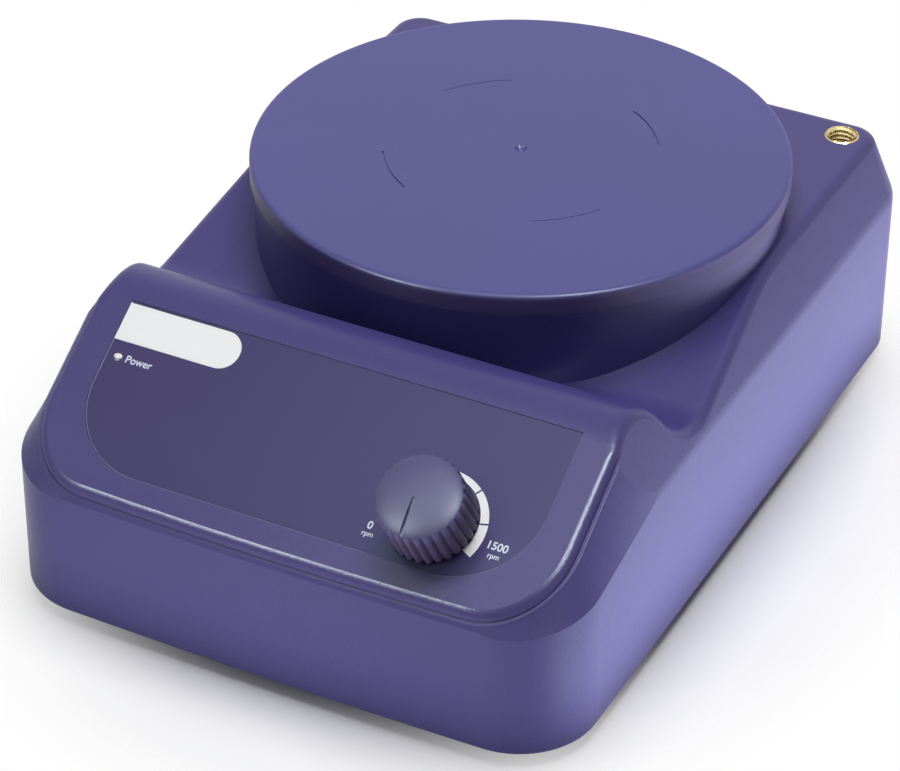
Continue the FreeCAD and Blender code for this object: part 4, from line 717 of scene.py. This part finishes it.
world = bpy.data.worlds.new("studio")
bpy.context.scene.world = world
world.use_nodes = True
sky = world.node_tree
sky.nodes.clear()
lit, seen = sky.nodes.new("ShaderNodeBackground"), sky.nodes.new("ShaderNodeBackground")
for surround, colour, strength in ((lit, (1, 0.94, 1, 1), 0.08), (seen, (1, 1, 1, 1), 1)):
    feed(sky, colour, surround.inputs["Color"])
    feed(sky, strength, surround.inputs["Strength"])
ray = sky.nodes.new("ShaderNodeLightPath").outputs
mirrored = combine(sky, "MAXIMUM", ray["Is Camera Ray"], ray["Is Glossy Ray"])
choice = sky.nodes.new("ShaderNodeMixShader")
feed(sky, combine(sky, "MAXIMUM", mirrored, ray["Is Transmission Ray"]), choice.inputs[0])
feed(sky, lit.outputs["Background"], choice.inputs[1])
feed(sky, seen.outputs["Background"], choice.inputs[2])
feed(sky, choice.outputs["Shader"], sky.nodes.new("ShaderNodeOutputWorld").inputs["Surface"])


def soft_box(name, place, aim, size, power, colour, gives):
    """A rectangular lamp that looks at a point and gives either light or highlights."""
    lamp = bpy.data.lights.new(name, "AREA")
    lamp.shape = "RECTANGLE"
    lamp.size, lamp.size_y = size
    lamp.energy = power
    lamp.color = colour
    thing = bpy.data.objects.new(name, lamp)
    thing.location = place
    thing.rotation_euler = (Vector(aim) - Vector(place)).to_track_quat("-Z", "Y").to_euler()
    thing.visible_camera = False
    thing.visible_diffuse = gives == "light"
    thing.visible_glossy = gives == "highlights"
    bpy.context.collection.objects.link(thing)


white = (1, 1, 1)
soft_box("soft_box_above", place=(0.02, 0.1, 1.2), aim=(0, 0, 0.06), size=(0.8, 0.6),
         power=12.3, colour=white, gives="light")
soft_box("strip_above", place=(0.03, -0.31, 0.9), aim=(0.03, -0.08, 0.05), size=(0.72, 0.25),
         power=3.4, colour=(0.88, 0.95, 1), gives="highlights")
soft_box("lamp_right", place=(0.52, -0.28, 0.9), aim=(0.06, -0.08, 0.05), size=(0.25, 0.25),
         power=17, colour=(0.83, 0.92, 1), gives="highlights")
soft_box("lamp_front", place=(-0.405, -0.81, 0.61), aim=(0, -0.1, 0.04), size=(0.2, 0.35),
         power=15, colour=(0.85, 0.93, 1), gives="highlights")
soft_box("lit_table_right", place=(0.115, 0.09, 0.001), aim=(0.115, 0.09, 1), size=(0.045, 0.4),
         power=0.58, colour=(1, 1.18, 0.86), gives="light")
soft_box("lit_table_far", place=(0.145, 0.06, 0.001), aim=(0.145, 0.06, 1), size=(0.05, 0.12),
         power=0.015, colour=(0.85, 0.9, 1), gives="highlights")
soft_box("lit_table_front", place=(0, -0.15, 0.001), aim=(0, -0.15, 1), size=(0.16, 0.05),
         power=0.07, colour=white, gives="light")

camera = bpy.data.cameras.new("camera")
camera.lens = 142.875
camera.sensor_width = 36
camera.clip_start = 0.01
view = bpy.data.objects.new("camera", camera)
aim = Vector((-7.512, 3.3, 18.916)) * MM
round_from_front, above_table, roll, distance = 26.944, 34.442, 0.347, 907.27
turn = (Matrix.Rotation(math.radians(round_from_front), 4, "Z")
        @ Matrix.Rotation(math.radians(90 - above_table), 4, "X")
        @ Matrix.Rotation(math.radians(roll), 4, "Z"))
view.matrix_world = Matrix.Translation(aim) @ turn @ shift(0, 0, distance)
bpy.context.collection.objects.link(view)
bpy.context.scene.camera = view
bpy.context.scene.view_settings.view_transform = "Standard"
